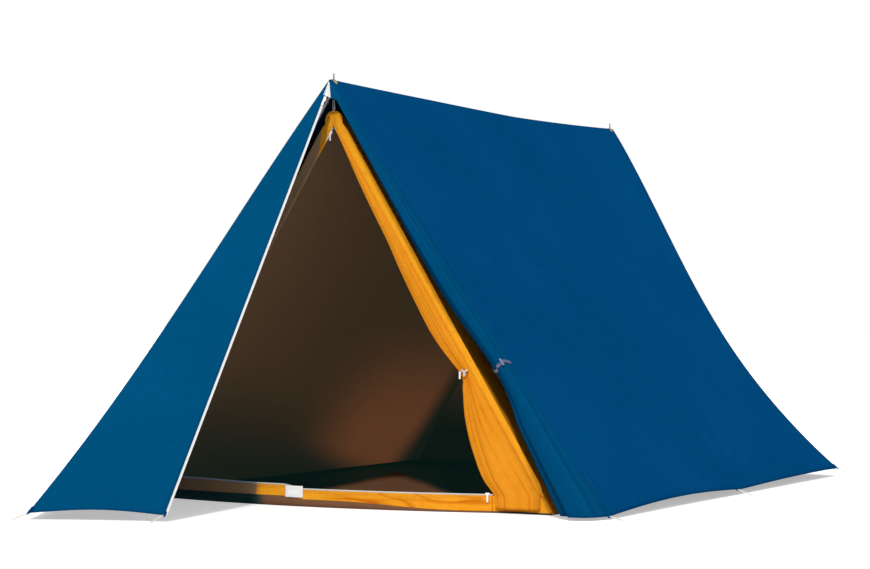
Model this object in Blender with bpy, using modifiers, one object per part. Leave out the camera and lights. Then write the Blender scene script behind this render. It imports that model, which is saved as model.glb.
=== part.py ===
# Ridge tent with a front porch: a blue flysheet over an orange inner tent, on steel poles.
# Metres. The origin is on the ground under the front pole, +Y runs to the rear, and +X is
# to the right of someone who looks in at the door.
from math import asin, cos, hypot, pi, radians, sin

import bmesh
import bpy
from mathutils import Vector

# Clearances
SEAM_GAP = 0.0003           # between pieces that touch
SLIDE_FIT = 0.0003          # between a pole and the tube round it, and a slider and its tape
HOLE_FIT = 0.0006           # between a spike and its eyelet

# Flysheet
RIDGE_HEIGHT = 1.400
RIDGE_SAG = 0.020           # the ridge has no pole, so it hangs a little between the two spikes
POLE_SPACING = 2.170
FRONT_OVERHANG = 0.027      # ridge seam ahead of the front pole
REAR_OVERHANG = 0.030       # ridge seam behind the rear pole
FLY_HALF_WIDTH = 1.017
FLY_CLOTH = 0.0012
FRONT_CORNER_AHEAD = 0.040  # front hem corner ahead of the front pole
REAR_CORNER_AHEAD = 0.095   # rear hem corner ahead of the rear pole
REAR_EDGE_INSET = 0.272     # how deep the rear edge of the roof is cut in
REAR_EDGE_SKEW = 1.6        # the cut is deepest below the middle
REAR_EDGE_FULLNESS = 0.85
ROOF_ROWS = 16              # rows of facets from ridge to hem
REAR_APSE = 0.160           # foot of the rear centre seam behind the rear pole
MIDDLE_PEG = 1.050          # middle peg point of the side hem behind the front pole
HEM_AT_FRONT = 0.010
HEM_AT_MIDDLE = 0.016
HEM_AT_REAR = 0.028
HEM_LIFT_FRONT = 0.018      # rise of the hem between the front and middle pegs
HEM_LIFT_REAR = 0.012
HEM_LIFT_END = 0.012

# Left half of the porch, pegged out
PORCH_HEM = 0.020           # porch corners above the ground
FOLD_PEG = Vector((-0.533, -0.909, PORCH_HEM))
ZIP_PEG = Vector((-0.131, -0.761, PORCH_HEM))
PORCH_HEM_LIFT = 0.014
LEAF_SWING = radians(180)   # how far the leaf folds outwards about the crease
PANEL_TIP = 0.006           # share of a pointed panel cut off at its tip

# Right half of the porch, rolled back and tied
ROLL_TIE = 0.665            # place of the tie, as a share of the way down the seam
ROLL_TOP = 0.050            # top of the roll, as a share of the way down the seam
ROLL_NECK = 0.008           # half the tied neck, as a share of the seam
# share of the way down the seam, width inwards, depth forwards
ROLL_STATIONS = ((ROLL_TOP, 0.014, 0.016), (0.250, 0.038, 0.031), (0.530, 0.064, 0.045),
                 (ROLL_TIE - ROLL_NECK, 0.053, 0.036), (ROLL_TIE + ROLL_NECK, 0.053, 0.036),
                 (0.800, 0.090, 0.052), (1.000, 0.132, 0.080))
ROLL_ROWS = (10, 2, 6)      # rows of facets above, at and below the tie
ROLL_SIDES = 20
STRAP_END_SIDES = 2         # sides of the roll left bare between the strap and the seam
TOGGLE_TURN = 0.30          # place of the toggle, as a share of the way round the roll
ROLL_FOLDS = 5
ROLL_FOLD_DEPTH = 0.055     # as a share of the roll's size
STRAP_WIDTH = 0.020
STRAP_THICKNESS = 0.0015

# Zips
TAPE_THICKNESS = 0.0020
FLY_TAPE_WIDTH = 0.012
FLY_ZIP_PARK = 0.068        # slider below the ridge tip, along the zip
CLOSED_ZIP_WIDTH = 0.026
SLIDER_LENGTH = 0.013
SLIDER_WALL = 0.0016
SLIDER_REACH = 0.007        # how far the slider's jaws reach over its tape
PULL_LENGTH = 0.026
PULL_WIDTH = 0.006
PULL_THICKNESS = 0.0016

# Poles
POLE_RADIUS = 0.0095
POLE_WALL = 0.0012
INSERT_RADIUS = POLE_RADIUS - POLE_WALL - SLIDE_FIT
INSERT_WALL = 0.0012
INSERT_LENGTH = 0.080       # lower section inside the upper one
FRONT_FOOT_SPREAD = 0.905
LEG_DROP = 0.025            # crossing of the two legs below the ridge
ELBOW_RADIUS = 0.020
ELBOW_ARM = 0.090
ELBOW_COVERED = 0.045       # elbow arm inside its leg
LEG_SPLIT = 0.50            # share of the leg where its two sections meet
SPIKE_RADIUS = 0.0035
SPIKE_REACH = 0.022         # spike above the ridge
LUG_RADIUS = 0.0070
LUG_THICKNESS = 0.0030
LUG_HOLE = 0.0025
RING_WIRE = 0.0010
RING_RADIUS = 0.0070
FOOT_WALL = 0.0030
FOOT_HEIGHT = 0.045
FOOT_SOLE = 0.018           # end of the pole above the ground, along the pole
REAR_COLLAR = 0.018

# Eyelets and peg loops
EYELET_RADIUS = 0.0110
EYELET_THICKNESS = 0.0010
LOOP_CORD = 0.0016
LOOP_LENGTH = 0.050
LOOP_WIDTH = 0.012

# Inner tent
INNER_DROP = 0.095          # ridge of the inner tent below the ridge of the flysheet
INNER_HALF_WIDTH = 0.810
INNER_SAG = 0.020
INNER_REAR_GAP = 0.200      # foot of the inner tent ahead of the rear pole
INNER_REAR_LEAN = 0.070     # its rear wall leans forward at the top
INNER_CLOTH = 0.0010
CORD_RADIUS = 0.0015
DOOR_HEAD = 0.055           # top of the doorway below the ridge of the inner tent
STRIP_FOOT = 0.018          # width of the front strips at the sill
SILL_HEIGHT = 0.055
SILL_BOW = 0.110            # the slack sill bows forward
SILL_BOW_LEFT = -0.800
SILL_BOW_RIGHT = 0.640
SILL_TAPE = 0.0065
SILL_ZIP_LEFT = -0.740
SILL_ZIP_RIGHT = 0.600
SILL_PARK = 0.583
GROUNDSHEET = 0.0015
RIM_HEIGHT = 0.012
RIM_LEAN = 0.002            # the turned-up edge leans out a little
LABEL_LEFT = -0.116
LABEL_WIDTH = 0.068
LABEL_HEIGHT = 0.036
LABEL_THICKNESS = 0.0006

# Inner door, gathered to the right and tied
DOOR_TOP_DROP = 0.015       # top of the gathered door below the top of the doorway
DOOR_TIE = 0.433
DOOR_TIE_ROW = 0.60         # share of the door's rows that lie above the tie
TIE_SLACK = 0.0008          # the tie's cord lies loosely round the door's edge
DOOR_FOOT = 0.014
DOOR_LAP = 0.003            # door over the strip beside it
DOOR_PLEATS = 4
DOOR_FULLNESS = 0.50
DOOR_STANDOFF = 0.016       # the loose lower part hangs this far ahead of the wall
DOOR_TAPE_WIDTH = 0.006
DOOR_ZIP_PARK = 0.012       # slider below the top of the doorway
DOOR_ZIP_FOOT = 0.070
RIGHT_TAPE_LENGTH = 0.065
TOGGLE_RADIUS = 0.0035
TOGGLE_LENGTH = 0.024

# Worked out from the sizes above
RIDGE_FRONT = -FRONT_OVERHANG
RIDGE_REAR = POLE_SPACING + REAR_OVERHANG
HEM_FRONT = -FRONT_CORNER_AHEAD
HEM_REAR = POLE_SPACING - REAR_CORNER_AHEAD
RIDGE_TIP = Vector((0, RIDGE_FRONT, RIDGE_HEIGHT))
MIDDLE_SHARE = (MIDDLE_PEG - HEM_FRONT) / (HEM_REAR - HEM_FRONT)
INNER_HEIGHT = RIDGE_HEIGHT - INNER_DROP
INNER_REAR_FOOT = POLE_SPACING - INNER_REAR_GAP
INNER_REAR_TOP = INNER_REAR_FOOT - INNER_REAR_LEAN
DOOR_APEX = INNER_HEIGHT - DOOR_HEAD
DOOR_TOP = DOOR_APEX - DOOR_TOP_DROP
# height, width of the gathered door
DOOR_GATHER = ((DOOR_TOP, 0.004), (0.600, 0.062), (DOOR_TIE, 0.039), (0.300, 0.105),
               (0.170, 0.142), (DOOR_FOOT, 0.150))
WALL_FOOT = RIM_HEIGHT + SEAM_GAP + INNER_CLOTH / 2
STRIP_BOTTOM = SILL_HEIGHT + SEAM_GAP
LEG_APEX = RIDGE_HEIGHT - LEG_DROP
LEG_LENGTH = hypot(FRONT_FOOT_SPREAD, LEG_APEX)
LEG_SIN = FRONT_FOOT_SPREAD / LEG_LENGTH
LEG_COS = LEG_APEX / LEG_LENGTH
ELBOW_TOP = LEG_APEX - ELBOW_RADIUS / LEG_SIN + ELBOW_RADIUS
BOW_CHORD = SILL_BOW_RIGHT - SILL_BOW_LEFT
BOW_RADIUS = BOW_CHORD ** 2 / (8 * SILL_BOW) + SILL_BOW / 2
BOW_CENTRE = Vector(((SILL_BOW_LEFT + SILL_BOW_RIGHT) / 2, BOW_RADIUS - SILL_BOW, 0))

# Finishes: sRGB colour, roughness, metallic
BLUE_FLY = ((6, 78, 128), 0.62, 0.0)
ORANGE_INNER = ((240, 158, 38), 0.80, 0.0)
BROWN_PVC = ((88, 62, 44), 0.45, 0.0)
STEEL = ((176, 178, 180), 0.35, 0.9)
BRASS = ((186, 160, 96), 0.35, 0.9)
WHITE_TAPE = ((232, 232, 228), 0.70, 0.0)
WHITE_PLASTIC = ((238, 236, 230), 0.40, 0.0)
PALE_ELASTIC = ((226, 226, 220), 0.75, 0.0)
GREY_WEBBING = ((120, 116, 150), 0.75, 0.0)
BLACK_RUBBER = ((28, 28, 30), 0.80, 0.0)
BLANK_LABEL = ((244, 244, 242), 0.60, 0.0)

for old in list(bpy.data.objects):
    bpy.data.objects.remove(old, do_unlink=True)

parts = bpy.data.collections.new("ridge_tent")
cutters = bpy.data.collections.new("cutters")
bpy.context.scene.collection.children.link(parts)
bpy.context.scene.collection.children.link(cutters)


def mix(a, b, share):
    """The value or point at a share of the way from a to b."""
    return a + (b - a) * share


def station(stations, place, column):
    """A size read between hand-set stations, eased so that it has no corner."""
    rising = sorted(stations)
    place = min(max(place, rising[0][0]), rising[-1][0])
    for low, high in zip(rising, rising[1:]):
        if place <= high[0]:
            share = (place - low[0]) / (high[0] - low[0])
            return mix(low[column], high[column], share * share * (3 - 2 * share))
    return rising[-1][column]


def linear(channel):
    """One sRGB channel, 0 to 255, as the linear value that a shader takes."""
    value = channel / 255
    return value / 12.92 if value <= 0.04045 else ((value + 0.055) / 1.055) ** 2.4


def finish(obj, look):
    """A material of the piece's own, with its colour, roughness and metallic value."""
    colour, roughness, metallic = look
    material = bpy.data.materials.new(obj.name)
    material.use_nodes = True
    shader = material.node_tree.nodes["Principled BSDF"]
    shader.inputs["Base Color"].default_value = [linear(c) for c in colour] + [1]
    shader.inputs["Roughness"].default_value = roughness
    shader.inputs["Metallic"].default_value = metallic
    obj.data.materials.append(material)


def add_object(name, bm, look, origin=(0, 0, 0), parent=None, smooth_angle=35):
    """A part from a bmesh in world coordinates, with its origin where the piece turns."""
    origin = Vector(origin)
    bmesh.ops.translate(bm, verts=bm.verts, vec=-origin)
    mesh = bpy.data.meshes.new(name)
    bm.to_mesh(mesh)
    bm.free()
    mesh.shade_smooth()
    mesh.set_sharp_from_angle(angle=radians(smooth_angle))
    obj = bpy.data.objects.new(name, mesh)
    parts.objects.link(obj)
    obj.location = origin
    if parent:
        obj.parent = parent
        obj.location = origin - parent.location
    finish(obj, look)
    return obj


def add_empty(name, location):
    """The fixed end of a joint, which carries every piece that moves with it."""
    empty = bpy.data.objects.new(name, None)
    parts.objects.link(empty)
    empty.location = location
    return empty


def solidify(obj, thickness, offset=0.0):
    """Gives an open surface its wall, centred on it unless offset says otherwise."""
    wall = obj.modifiers.new("wall", "SOLIDIFY")
    wall.thickness = thickness
    wall.offset = offset
    wall.use_even_offset = True


def cloth(name, columns, rows, place, thickness, look, **options):
    """A sheet of cloth: a flat grid moved to place(u, v), with u and v from 0 to 1."""
    offset = options.pop("offset", 0.0)
    bm = bmesh.new()
    bmesh.ops.create_grid(bm, x_segments=columns, y_segments=rows, size=0.5)
    for vert in bm.verts:
        vert.co = place(vert.co.x + 0.5, vert.co.y + 0.5)
    obj = add_object(name, bm, look, **options)
    solidify(obj, thickness, offset)
    return obj


def along(start, end):
    """The turn that takes +Z to the way from start to end, and the way's length."""
    way = Vector(end) - Vector(start)
    return way.to_track_quat("Z", "Y"), way.length


def rod_mesh(start, end, radius, sides=24, end_radius=None, caps=True):
    """A cylinder or cone from start to end, as a bmesh in world coordinates."""
    turn, length = along(start, end)
    bm = bmesh.new()
    bmesh.ops.create_cone(bm, cap_ends=caps, segments=sides, radius1=radius,
                          radius2=radius if end_radius is None else end_radius, depth=length)
    bmesh.ops.rotate(bm, verts=bm.verts, matrix=turn.to_matrix())
    bmesh.ops.translate(bm, verts=bm.verts, vec=mix(Vector(start), Vector(end), 0.5))
    return bm


def rod(name, start, end, radius, look, **options):
    """A round solid bar."""
    sides = options.pop("sides", 24)
    return add_object(name, rod_mesh(start, end, radius, sides), look, **options)


def tube(name, start, end, radius, wall, look):
    """A drawn tube: an open cylinder whose wall is made inwards."""
    obj = add_object(name, rod_mesh(start, end, radius, caps=False), look)
    solidify(obj, wall, offset=-1.0)
    return obj


def box_mesh(centre, size, axes=None):
    """A box with its sides along axes, as a bmesh in world coordinates."""
    bm = bmesh.new()
    bmesh.ops.create_cube(bm, size=1.0)
    x_axis, y_axis, z_axis = axes or (Vector((1, 0, 0)), Vector((0, 1, 0)), Vector((0, 0, 1)))
    for vert in bm.verts:
        x, y, z = (side * length for side, length in zip(vert.co, size))
        vert.co = Vector(centre) + x_axis * x + y_axis * y + z_axis * z
    bm.normal_update()
    bmesh.ops.recalc_face_normals(bm, faces=bm.faces)
    return bm


def cutter(name, bm):
    """A solid that only cuts or joins others."""
    mesh = bpy.data.meshes.new(name)
    bm.to_mesh(mesh)
    bm.free()
    obj = bpy.data.objects.new(name, mesh)
    cutters.objects.link(obj)
    obj.hide_render = True
    obj.display_type = "WIRE"
    return obj


def boolean(obj, tool, operation="DIFFERENCE"):
    """Cuts the tool out of the piece, or joins the two."""
    cut = obj.modifiers.new(tool.name, "BOOLEAN")
    cut.operation = operation
    cut.solver = "EXACT"
    cut.object = tool


def wire_mesh(points, radius, sides_level=2, cyclic=False):
    """A bent rod along points, as a bmesh: a bevelled curve with its caps welded."""
    curve = bpy.data.curves.new("wire", "CURVE")
    curve.dimensions = "3D"
    curve.bevel_depth = radius
    curve.bevel_resolution = sides_level
    curve.use_fill_caps = not cyclic
    spline = curve.splines.new("POLY")
    spline.points.add(len(points) - 1)
    for point, place in zip(spline.points, points):
        point.co = (*place, 1)
    spline.use_cyclic_u = cyclic
    holder = bpy.data.objects.new("wire", curve)
    parts.objects.link(holder)
    graph = bpy.context.evaluated_depsgraph_get()
    mesh = bpy.data.meshes.new_from_object(holder.evaluated_get(graph))
    bm = bmesh.new()
    bm.from_mesh(mesh)
    bmesh.ops.remove_doubles(bm, verts=bm.verts, dist=0.00001)
    bmesh.ops.recalc_face_normals(bm, faces=bm.faces)
    bpy.data.objects.remove(holder, do_unlink=True)
    bpy.data.meshes.remove(mesh)
    bpy.data.curves.remove(curve)
    return bm


def ring_points(centre, radius_a, radius_b, axis_a, axis_b, count):
    """Points round an oval whose half axes lie along axis_a and axis_b."""
    angles = [2 * pi * step / count for step in range(count)]
    return [centre + axis_a * (radius_a * cos(a)) + axis_b * (radius_b * sin(a)) for a in angles]


# Flysheet surfaces
def ridge_z(y, height=RIDGE_HEIGHT, sag=RIDGE_SAG, span=POLE_SPACING):
    """Height of a ridge that hangs between its two poles."""
    share = min(max(y / span, 0), 1)
    return height - 4 * sag * share * (1 - share)


def hem_z(y):
    """Height of the side hem, low at each peg point and lifted between them."""
    if y <= MIDDLE_PEG:
        share = max(y - HEM_FRONT, 0) / (MIDDLE_PEG - HEM_FRONT)
        return mix(HEM_AT_FRONT, HEM_AT_MIDDLE, share) + HEM_LIFT_FRONT * sin(pi * share)
    share = min((y - MIDDLE_PEG) / (HEM_REAR - MIDDLE_PEG), 1)
    return mix(HEM_AT_MIDDLE, HEM_AT_REAR, share) + HEM_LIFT_REAR * sin(pi * share)


def rear_edge_y(across):
    """The rear edge of the roof, cut in so that it stays tight."""
    straight = mix(RIDGE_REAR, HEM_REAR, across)
    return straight - REAR_EDGE_INSET * sin(pi * across ** REAR_EDGE_SKEW) ** REAR_EDGE_FULLNESS


def roof_point(side, across, along_share):
    """A point of the roof: across from ridge to hem, along_share from front to rear edge."""
    front = mix(RIDGE_FRONT, HEM_FRONT, across)
    y = mix(front, rear_edge_y(across), along_share)
    z = mix(ridge_z(y), hem_z(y), across)
    return Vector((side * FLY_HALF_WIDTH * across, y, z))


def front_seam(side, down):
    """The seam where a porch half is sewn to the roof, from the ridge tip to the front corner."""
    return roof_point(side, down, 0)


def crease(down):
    """The fold of the left porch half, from the ridge tip to its front peg."""
    return mix(RIDGE_TIP, FOLD_PEG, down)


def zip_edge(down):
    """The free edge of the left porch half."""
    return mix(RIDGE_TIP, ZIP_PEG, down)


def porch_hem(point, across, down):
    """Lifts the porch hem between its pegs."""
    return point + Vector((0, 0, PORCH_HEM_LIFT * sin(pi * across) * down ** 8))


def rear_edge(side, down):
    """The seam between a roof slope and its half of the rear end."""
    return roof_point(side, down, 1)


def rear_centre(down):
    """The seam between the two halves of the rear end."""
    return Vector((0, mix(RIDGE_REAR, POLE_SPACING + REAR_APSE, down), rear_edge(1, down).z))


def way_of(seam, down):
    """The direction of a seam, which is given as a function, at a share of the way down it."""
    return seam(min(down + 0.01, 1)) - seam(max(down - 0.01, 0))


def setback(seam, row, other, thickness, swing=0):
    """How far short of a seam a sheet ends, along its row, to clear the sheet sewn to it.

    Where the sheet swings about the seam, it also clears the other one's far face.
    """
    square = row - seam * (row.dot(seam) / seam.length_squared)
    beyond = other - seam * (other.dot(seam) / seam.length_squared)
    angle = square.angle(beyond)
    half = min(angle, 2 * pi - angle - swing) / 2
    clear = (SEAM_GAP / 2 + thickness / 2 * cos(half)) / sin(half)
    return clear * row.length / square.length


def trim(share, start, end, length):
    """A share from 0 to 1 along a row that is cut short at its start and at its end."""
    return (start + share * (length - start - end)) / length


def mirrored(vector):
    """The same vector on the tent's other side."""
    return Vector((-vector.x, vector.y, vector.z))


BACK = Vector((0, 1, 0))
SLOPE_DOWN = front_seam(1, 1) - front_seam(1, 0)
SLOPE_LENGTH = SLOPE_DOWN.length
RIDGE_TRIM = setback(BACK, SLOPE_DOWN, mirrored(SLOPE_DOWN), FLY_CLOTH)
ZIP_LENGTH = (ZIP_PEG - RIDGE_TIP).length
ZIP_DOWN = (ZIP_PEG - RIDGE_TIP).normalized()
LEAF_OUT = (crease(1) - RIDGE_TIP).cross(zip_edge(1) - RIDGE_TIP).normalized()
if LEAF_OUT.y > 0:
    LEAF_OUT = -LEAF_OUT
TAPE_OUT = ZIP_DOWN.cross(LEAF_OUT)
if TAPE_OUT.x < 0:
    TAPE_OUT = -TAPE_OUT


def down_roof(share):
    """A row of the roof's grid. The rear panels share its rows, so that the seams match."""
    return mix(RIDGE_TRIM / SLOPE_LENGTH, 1, share)


def front_trim(side):
    """How far the roof's front edge stands back from the seam with the porch."""
    porch = crease(1) if side < 0 else zip_edge(1)
    return setback(mirrored(SLOPE_DOWN) if side < 0 else SLOPE_DOWN, BACK,
                   porch - front_seam(side, 1), FLY_CLOTH)


def spike_cutter(name, y):
    """The round hole that a spike needs through the ridge."""
    radius = SPIKE_RADIUS + HOLE_FIT
    low = Vector((0, y, RIDGE_HEIGHT - 3 * EYELET_RADIUS))
    return cutter(name, rod_mesh(low, low + Vector((0, 0, 6 * EYELET_RADIUS)), radius, 16))


def slope_point(side, u, v):
    """A point of a roof slope, cut short at its seams, with a column at the middle peg."""
    across = down_roof(u)
    down = max(across, PANEL_TIP)
    length = rear_edge(side, across).y - roof_point(side, across, 0).y
    rear = setback(way_of(lambda at: rear_edge(side, at), down), -BACK,
                   rear_centre(down) - rear_edge(side, down), FLY_CLOTH)
    along_share = 2 * v * MIDDLE_SHARE if v < 0.5 else mix(MIDDLE_SHARE, 1, 2 * v - 1)
    return roof_point(side, across, trim(along_share, front_trim(side), rear, length))


def roof_slope(name, side, spikes):
    """One slope of the roof, notched for the two spikes."""
    def place(u, v):
        return slope_point(side, u, v)
    obj = cloth(name, ROOF_ROWS, 14, place, FLY_CLOTH, BLUE_FLY)
    for spike in spikes:
        boolean(obj, spike)


def rear_panel(name, side):
    """Half of the rear end, from the roof's cut-in edge to the centre seam."""
    def place(u, v):
        down = max(down_roof(v), PANEL_TIP)
        edge, centre = rear_edge(side, down), rear_centre(down)
        row = centre - edge
        at_edge = setback(way_of(lambda at: rear_edge(side, at), down), row, -BACK, FLY_CLOTH)
        at_centre = setback(way_of(rear_centre, down), -row, mirrored(-row), FLY_CLOTH)
        lift = Vector((0, 0, HEM_LIFT_END * sin(pi * u) * down ** 8))
        return mix(edge, centre, trim(u, at_edge, at_centre, row.length)) + lift
    cloth(name, 6, ROOF_ROWS, place, FLY_CLOTH, BLUE_FLY)


def side_point(u, v):
    """A point of the fixed side of the left porch half, from the roof seam to the fold."""
    down = mix(2 * PANEL_TIP, 1, v)
    seam, fold = front_seam(-1, down), crease(down)
    row = fold - seam
    at_seam = setback(mirrored(SLOPE_DOWN), row, BACK, FLY_CLOTH)
    at_fold = setback(FOLD_PEG - RIDGE_TIP, -row, ZIP_PEG - FOLD_PEG, FLY_CLOTH, LEAF_SWING)
    return porch_hem(mix(seam, fold, trim(u, at_seam, at_fold, row.length)), u, down)


def leaf_point(u, v):
    """A point of the door leaf of the left porch half, from the fold to the zip."""
    down = mix(4 * PANEL_TIP, 1, v)
    fold, edge = crease(down), zip_edge(down)
    row = edge - fold
    at_fold = setback(FOLD_PEG - RIDGE_TIP, row, front_seam(-1, 1) - FOLD_PEG, FLY_CLOTH,
                      LEAF_SWING)
    return porch_hem(mix(fold, edge, trim(u, at_fold, 0, row.length)), u, down)


def porch_top_point(u, v):
    """A point of the top of the right porch half, which stays zipped to the left one."""
    closed_end = (FLY_ZIP_PARK - SLIDER_LENGTH / 2 - SEAM_GAP) / ZIP_LENGTH
    zip_side = zip_edge(mix(PANEL_TIP, closed_end, v))
    seam_side = front_seam(1, mix(PANEL_TIP, ROLL_TOP - FLY_CLOTH / SLOPE_LENGTH, v))
    row = seam_side - zip_side
    at_seam = setback(SLOPE_DOWN, -row, BACK, FLY_CLOTH)
    return mix(zip_side, seam_side, trim(u, FLY_CLOTH / 2 + SEAM_GAP, at_seam, row.length))


def tape_point(down_length, out_length):
    """A point of the zip tape, measured down the zip and out from the cloth's edge."""
    return RIDGE_TIP + ZIP_DOWN * down_length + TAPE_OUT * out_length


def slider_mesh(at, travel, outward, normal, reach, tape):
    """A zip slider: a block with a slot for its tape, and its bridge on the outer side."""
    slot = tape + 2 * SLIDE_FIT
    width = reach + SLIDE_FIT + SLIDER_WALL
    centre = at + outward * (SLIDE_FIT + SLIDER_WALL - width / 2)
    block = box_mesh(centre, (width, SLIDER_LENGTH, slot + 2 * SLIDER_WALL),
                     (outward, travel, normal))
    bmesh.ops.bevel(block, geom=list(block.edges), offset=SLIDER_WALL / 3, segments=1,
                    affect="EDGES", profile=0.5, material=-1)
    slot_centre = at + outward * (SLIDE_FIT - width)
    slot_tool = box_mesh(slot_centre, (2 * width, 2 * SLIDER_LENGTH, slot),
                         (outward, travel, normal))
    return block, slot_tool


def slider(name, at, travel, outward, normal, reach, tape, parent):
    """A slider with its slot cut, whose origin is on the edge of its tape."""
    block, slot_tool = slider_mesh(at, travel, outward, normal, reach, tape)
    obj = add_object(name, block, WHITE_PLASTIC, origin=at, parent=parent)
    boolean(obj, cutter(name + "_slot", slot_tool))
    front = SLIDE_FIT + SLIDER_WALL + tape / 2
    return at - outward * (reach / 2) + normal * (front + SEAM_GAP + PULL_THICKNESS / 2)


def pull(name, pivot, way, normal, parent):
    """A flat pull tab that lies along way and turns about its end, clear of the slider."""
    flat = way.cross(normal).normalized()
    centre = pivot + way * (PULL_LENGTH - PULL_THICKNESS) / 2
    bm = box_mesh(centre, (PULL_WIDTH, PULL_LENGTH, PULL_THICKNESS), (flat, way, normal))
    bmesh.ops.bevel(bm, geom=list(bm.edges), offset=PULL_THICKNESS / 4, segments=1,
                    affect="EDGES", profile=0.5, material=-1)
    add_object(name, bm, WHITE_PLASTIC, origin=pivot, parent=parent)


def fly_zip(leaf):
    """The zip of the porch: the closed top, the left tape, its slider and pull."""
    foot_row = porch_top_point(1, 1) - porch_top_point(0, 1)
    forward = foot_row.cross(porch_top_point(0, 0) - porch_top_point(0, 1)).normalized()
    if forward.y > 0:
        forward = -forward

    def closed(u, v):
        share = u * CLOSED_ZIP_WIDTH / foot_row.length
        return (porch_top_point(share, v)
                + forward * (FLY_CLOTH / 2 + SEAM_GAP + TAPE_THICKNESS / 2))
    cloth("fly_zip_closed_top", 2, 4, closed, TAPE_THICKNESS, WHITE_TAPE)

    def tape(u, v):
        down = mix(FLY_ZIP_PARK - SLIDER_LENGTH / 2 + TAPE_THICKNESS, ZIP_LENGTH, v)
        return tape_point(down, mix(SEAM_GAP, FLY_TAPE_WIDTH, u))
    cloth("fly_zip_tape", 1, 12, tape, TAPE_THICKNESS, WHITE_TAPE, origin=FOLD_PEG, parent=leaf)

    at = tape_point(FLY_ZIP_PARK + SLIDER_LENGTH / 2 + TAPE_THICKNESS, FLY_TAPE_WIDTH)
    pivot = slider("fly_zip_slider", at, ZIP_DOWN, TAPE_OUT, LEAF_OUT, SLIDER_REACH,
                   TAPE_THICKNESS, leaf)
    pull("fly_zip_pull", pivot, ZIP_DOWN, LEAF_OUT, leaf)


def roll_section(down, turn):
    """A point round the roll, whose level section is a drop with its tip at the seam."""
    width = station(ROLL_STATIONS, down, 1)
    depth = station(ROLL_STATIONS, down, 2)
    angle = 2 * pi * (turn % 1)
    length = (1 - cos(angle)) / 2
    bulge = sin(angle) * sin(angle / 2) ** 1.5
    fold = 1 + ROLL_FOLD_DEPTH * sin(ROLL_FOLDS * angle) * sin(angle / 2) ** 2
    across = (length * 0.98 - bulge * 0.50) * width * fold
    ahead = (length * 0.98 + bulge * 0.50) * depth * fold
    tip = 2 * SEAM_GAP - front_trim(1)
    return front_seam(1, down) - Vector((across, ahead + tip, 0))


def off_roll(down, turn, distance):
    """A point at a distance straight out from the roll's surface."""
    point = roll_section(down, turn)
    round_it = roll_section(down, turn + 0.01) - roll_section(down, turn - 0.01)
    seam_way = front_seam(1, 1) - front_seam(1, 0)
    out = round_it.cross(seam_way).normalized()
    if out.dot(point - roll_section(down, turn + 0.5)) < 0:
        out = -out
    return point + out * distance


def roll_row(share):
    """How far down the seam a row of the roll lies, with rows at both edges of the tie."""
    row = share * sum(ROLL_ROWS)
    above, neck, below = ROLL_ROWS
    if row <= above:
        return mix(ROLL_TOP, ROLL_TIE - ROLL_NECK, row / above)
    if row <= above + neck:
        return mix(ROLL_TIE - ROLL_NECK, ROLL_TIE + ROLL_NECK, (row - above) / neck)
    return mix(ROLL_TIE + ROLL_NECK, 1, (row - above - neck) / below)


def rolled_half(name):
    """The right half of the porch, rolled up along its seam."""
    rows = sum(ROLL_ROWS)
    bm = bmesh.new()
    bmesh.ops.create_cone(bm, cap_ends=True, cap_tris=True, segments=ROLL_SIDES, radius1=1,
                          radius2=1, depth=1)
    uprights = [e for e in bm.edges if abs(e.verts[0].co.z - e.verts[1].co.z) > 0.5]
    bmesh.ops.subdivide_edges(bm, edges=uprights, cuts=rows - 1, use_grid_fill=True)
    for vert in bm.verts:
        down = roll_row(0.5 - vert.co.z)
        if hypot(vert.co.x, vert.co.y) < 0.5:
            vert.co = mix(roll_section(down, 0.4), roll_section(down, 0.6), 0.5)
            continue
        turn = (Vector((vert.co.x, vert.co.y)).angle_signed(Vector((1, 0))) / (2 * pi)) % 1
        vert.co = roll_section(down, turn)
    bm.normal_update()
    bmesh.ops.recalc_face_normals(bm, faces=bm.faces)
    add_object(name, bm, BLUE_FLY, smooth_angle=60)


def roll_tie(strap_name, toggle_name):
    """The strap that holds the roll, with its toggle on the outside."""
    half = STRAP_WIDTH / 2 / SLOPE_LENGTH
    clear = 2 * SEAM_GAP + STRAP_THICKNESS / 2
    start = STRAP_END_SIDES / ROLL_SIDES

    def strap(u, v):
        return off_roll(ROLL_TIE + mix(-half, half, v), mix(start, 1 - start, u), clear)
    cloth(strap_name, ROLL_SIDES - 2 * STRAP_END_SIDES, 2, strap, STRAP_THICKNESS, GREY_WEBBING)

    reach = clear + STRAP_THICKNESS / 2 + SEAM_GAP + TOGGLE_RADIUS
    seat = off_roll(ROLL_TIE, TOGGLE_TURN, reach)
    way = (front_seam(1, 1) - front_seam(1, 0)).normalized() * (TOGGLE_LENGTH / 2)
    rod(toggle_name, seat - way, seat + way, TOGGLE_RADIUS, GREY_WEBBING, sides=12, origin=seat)


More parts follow.
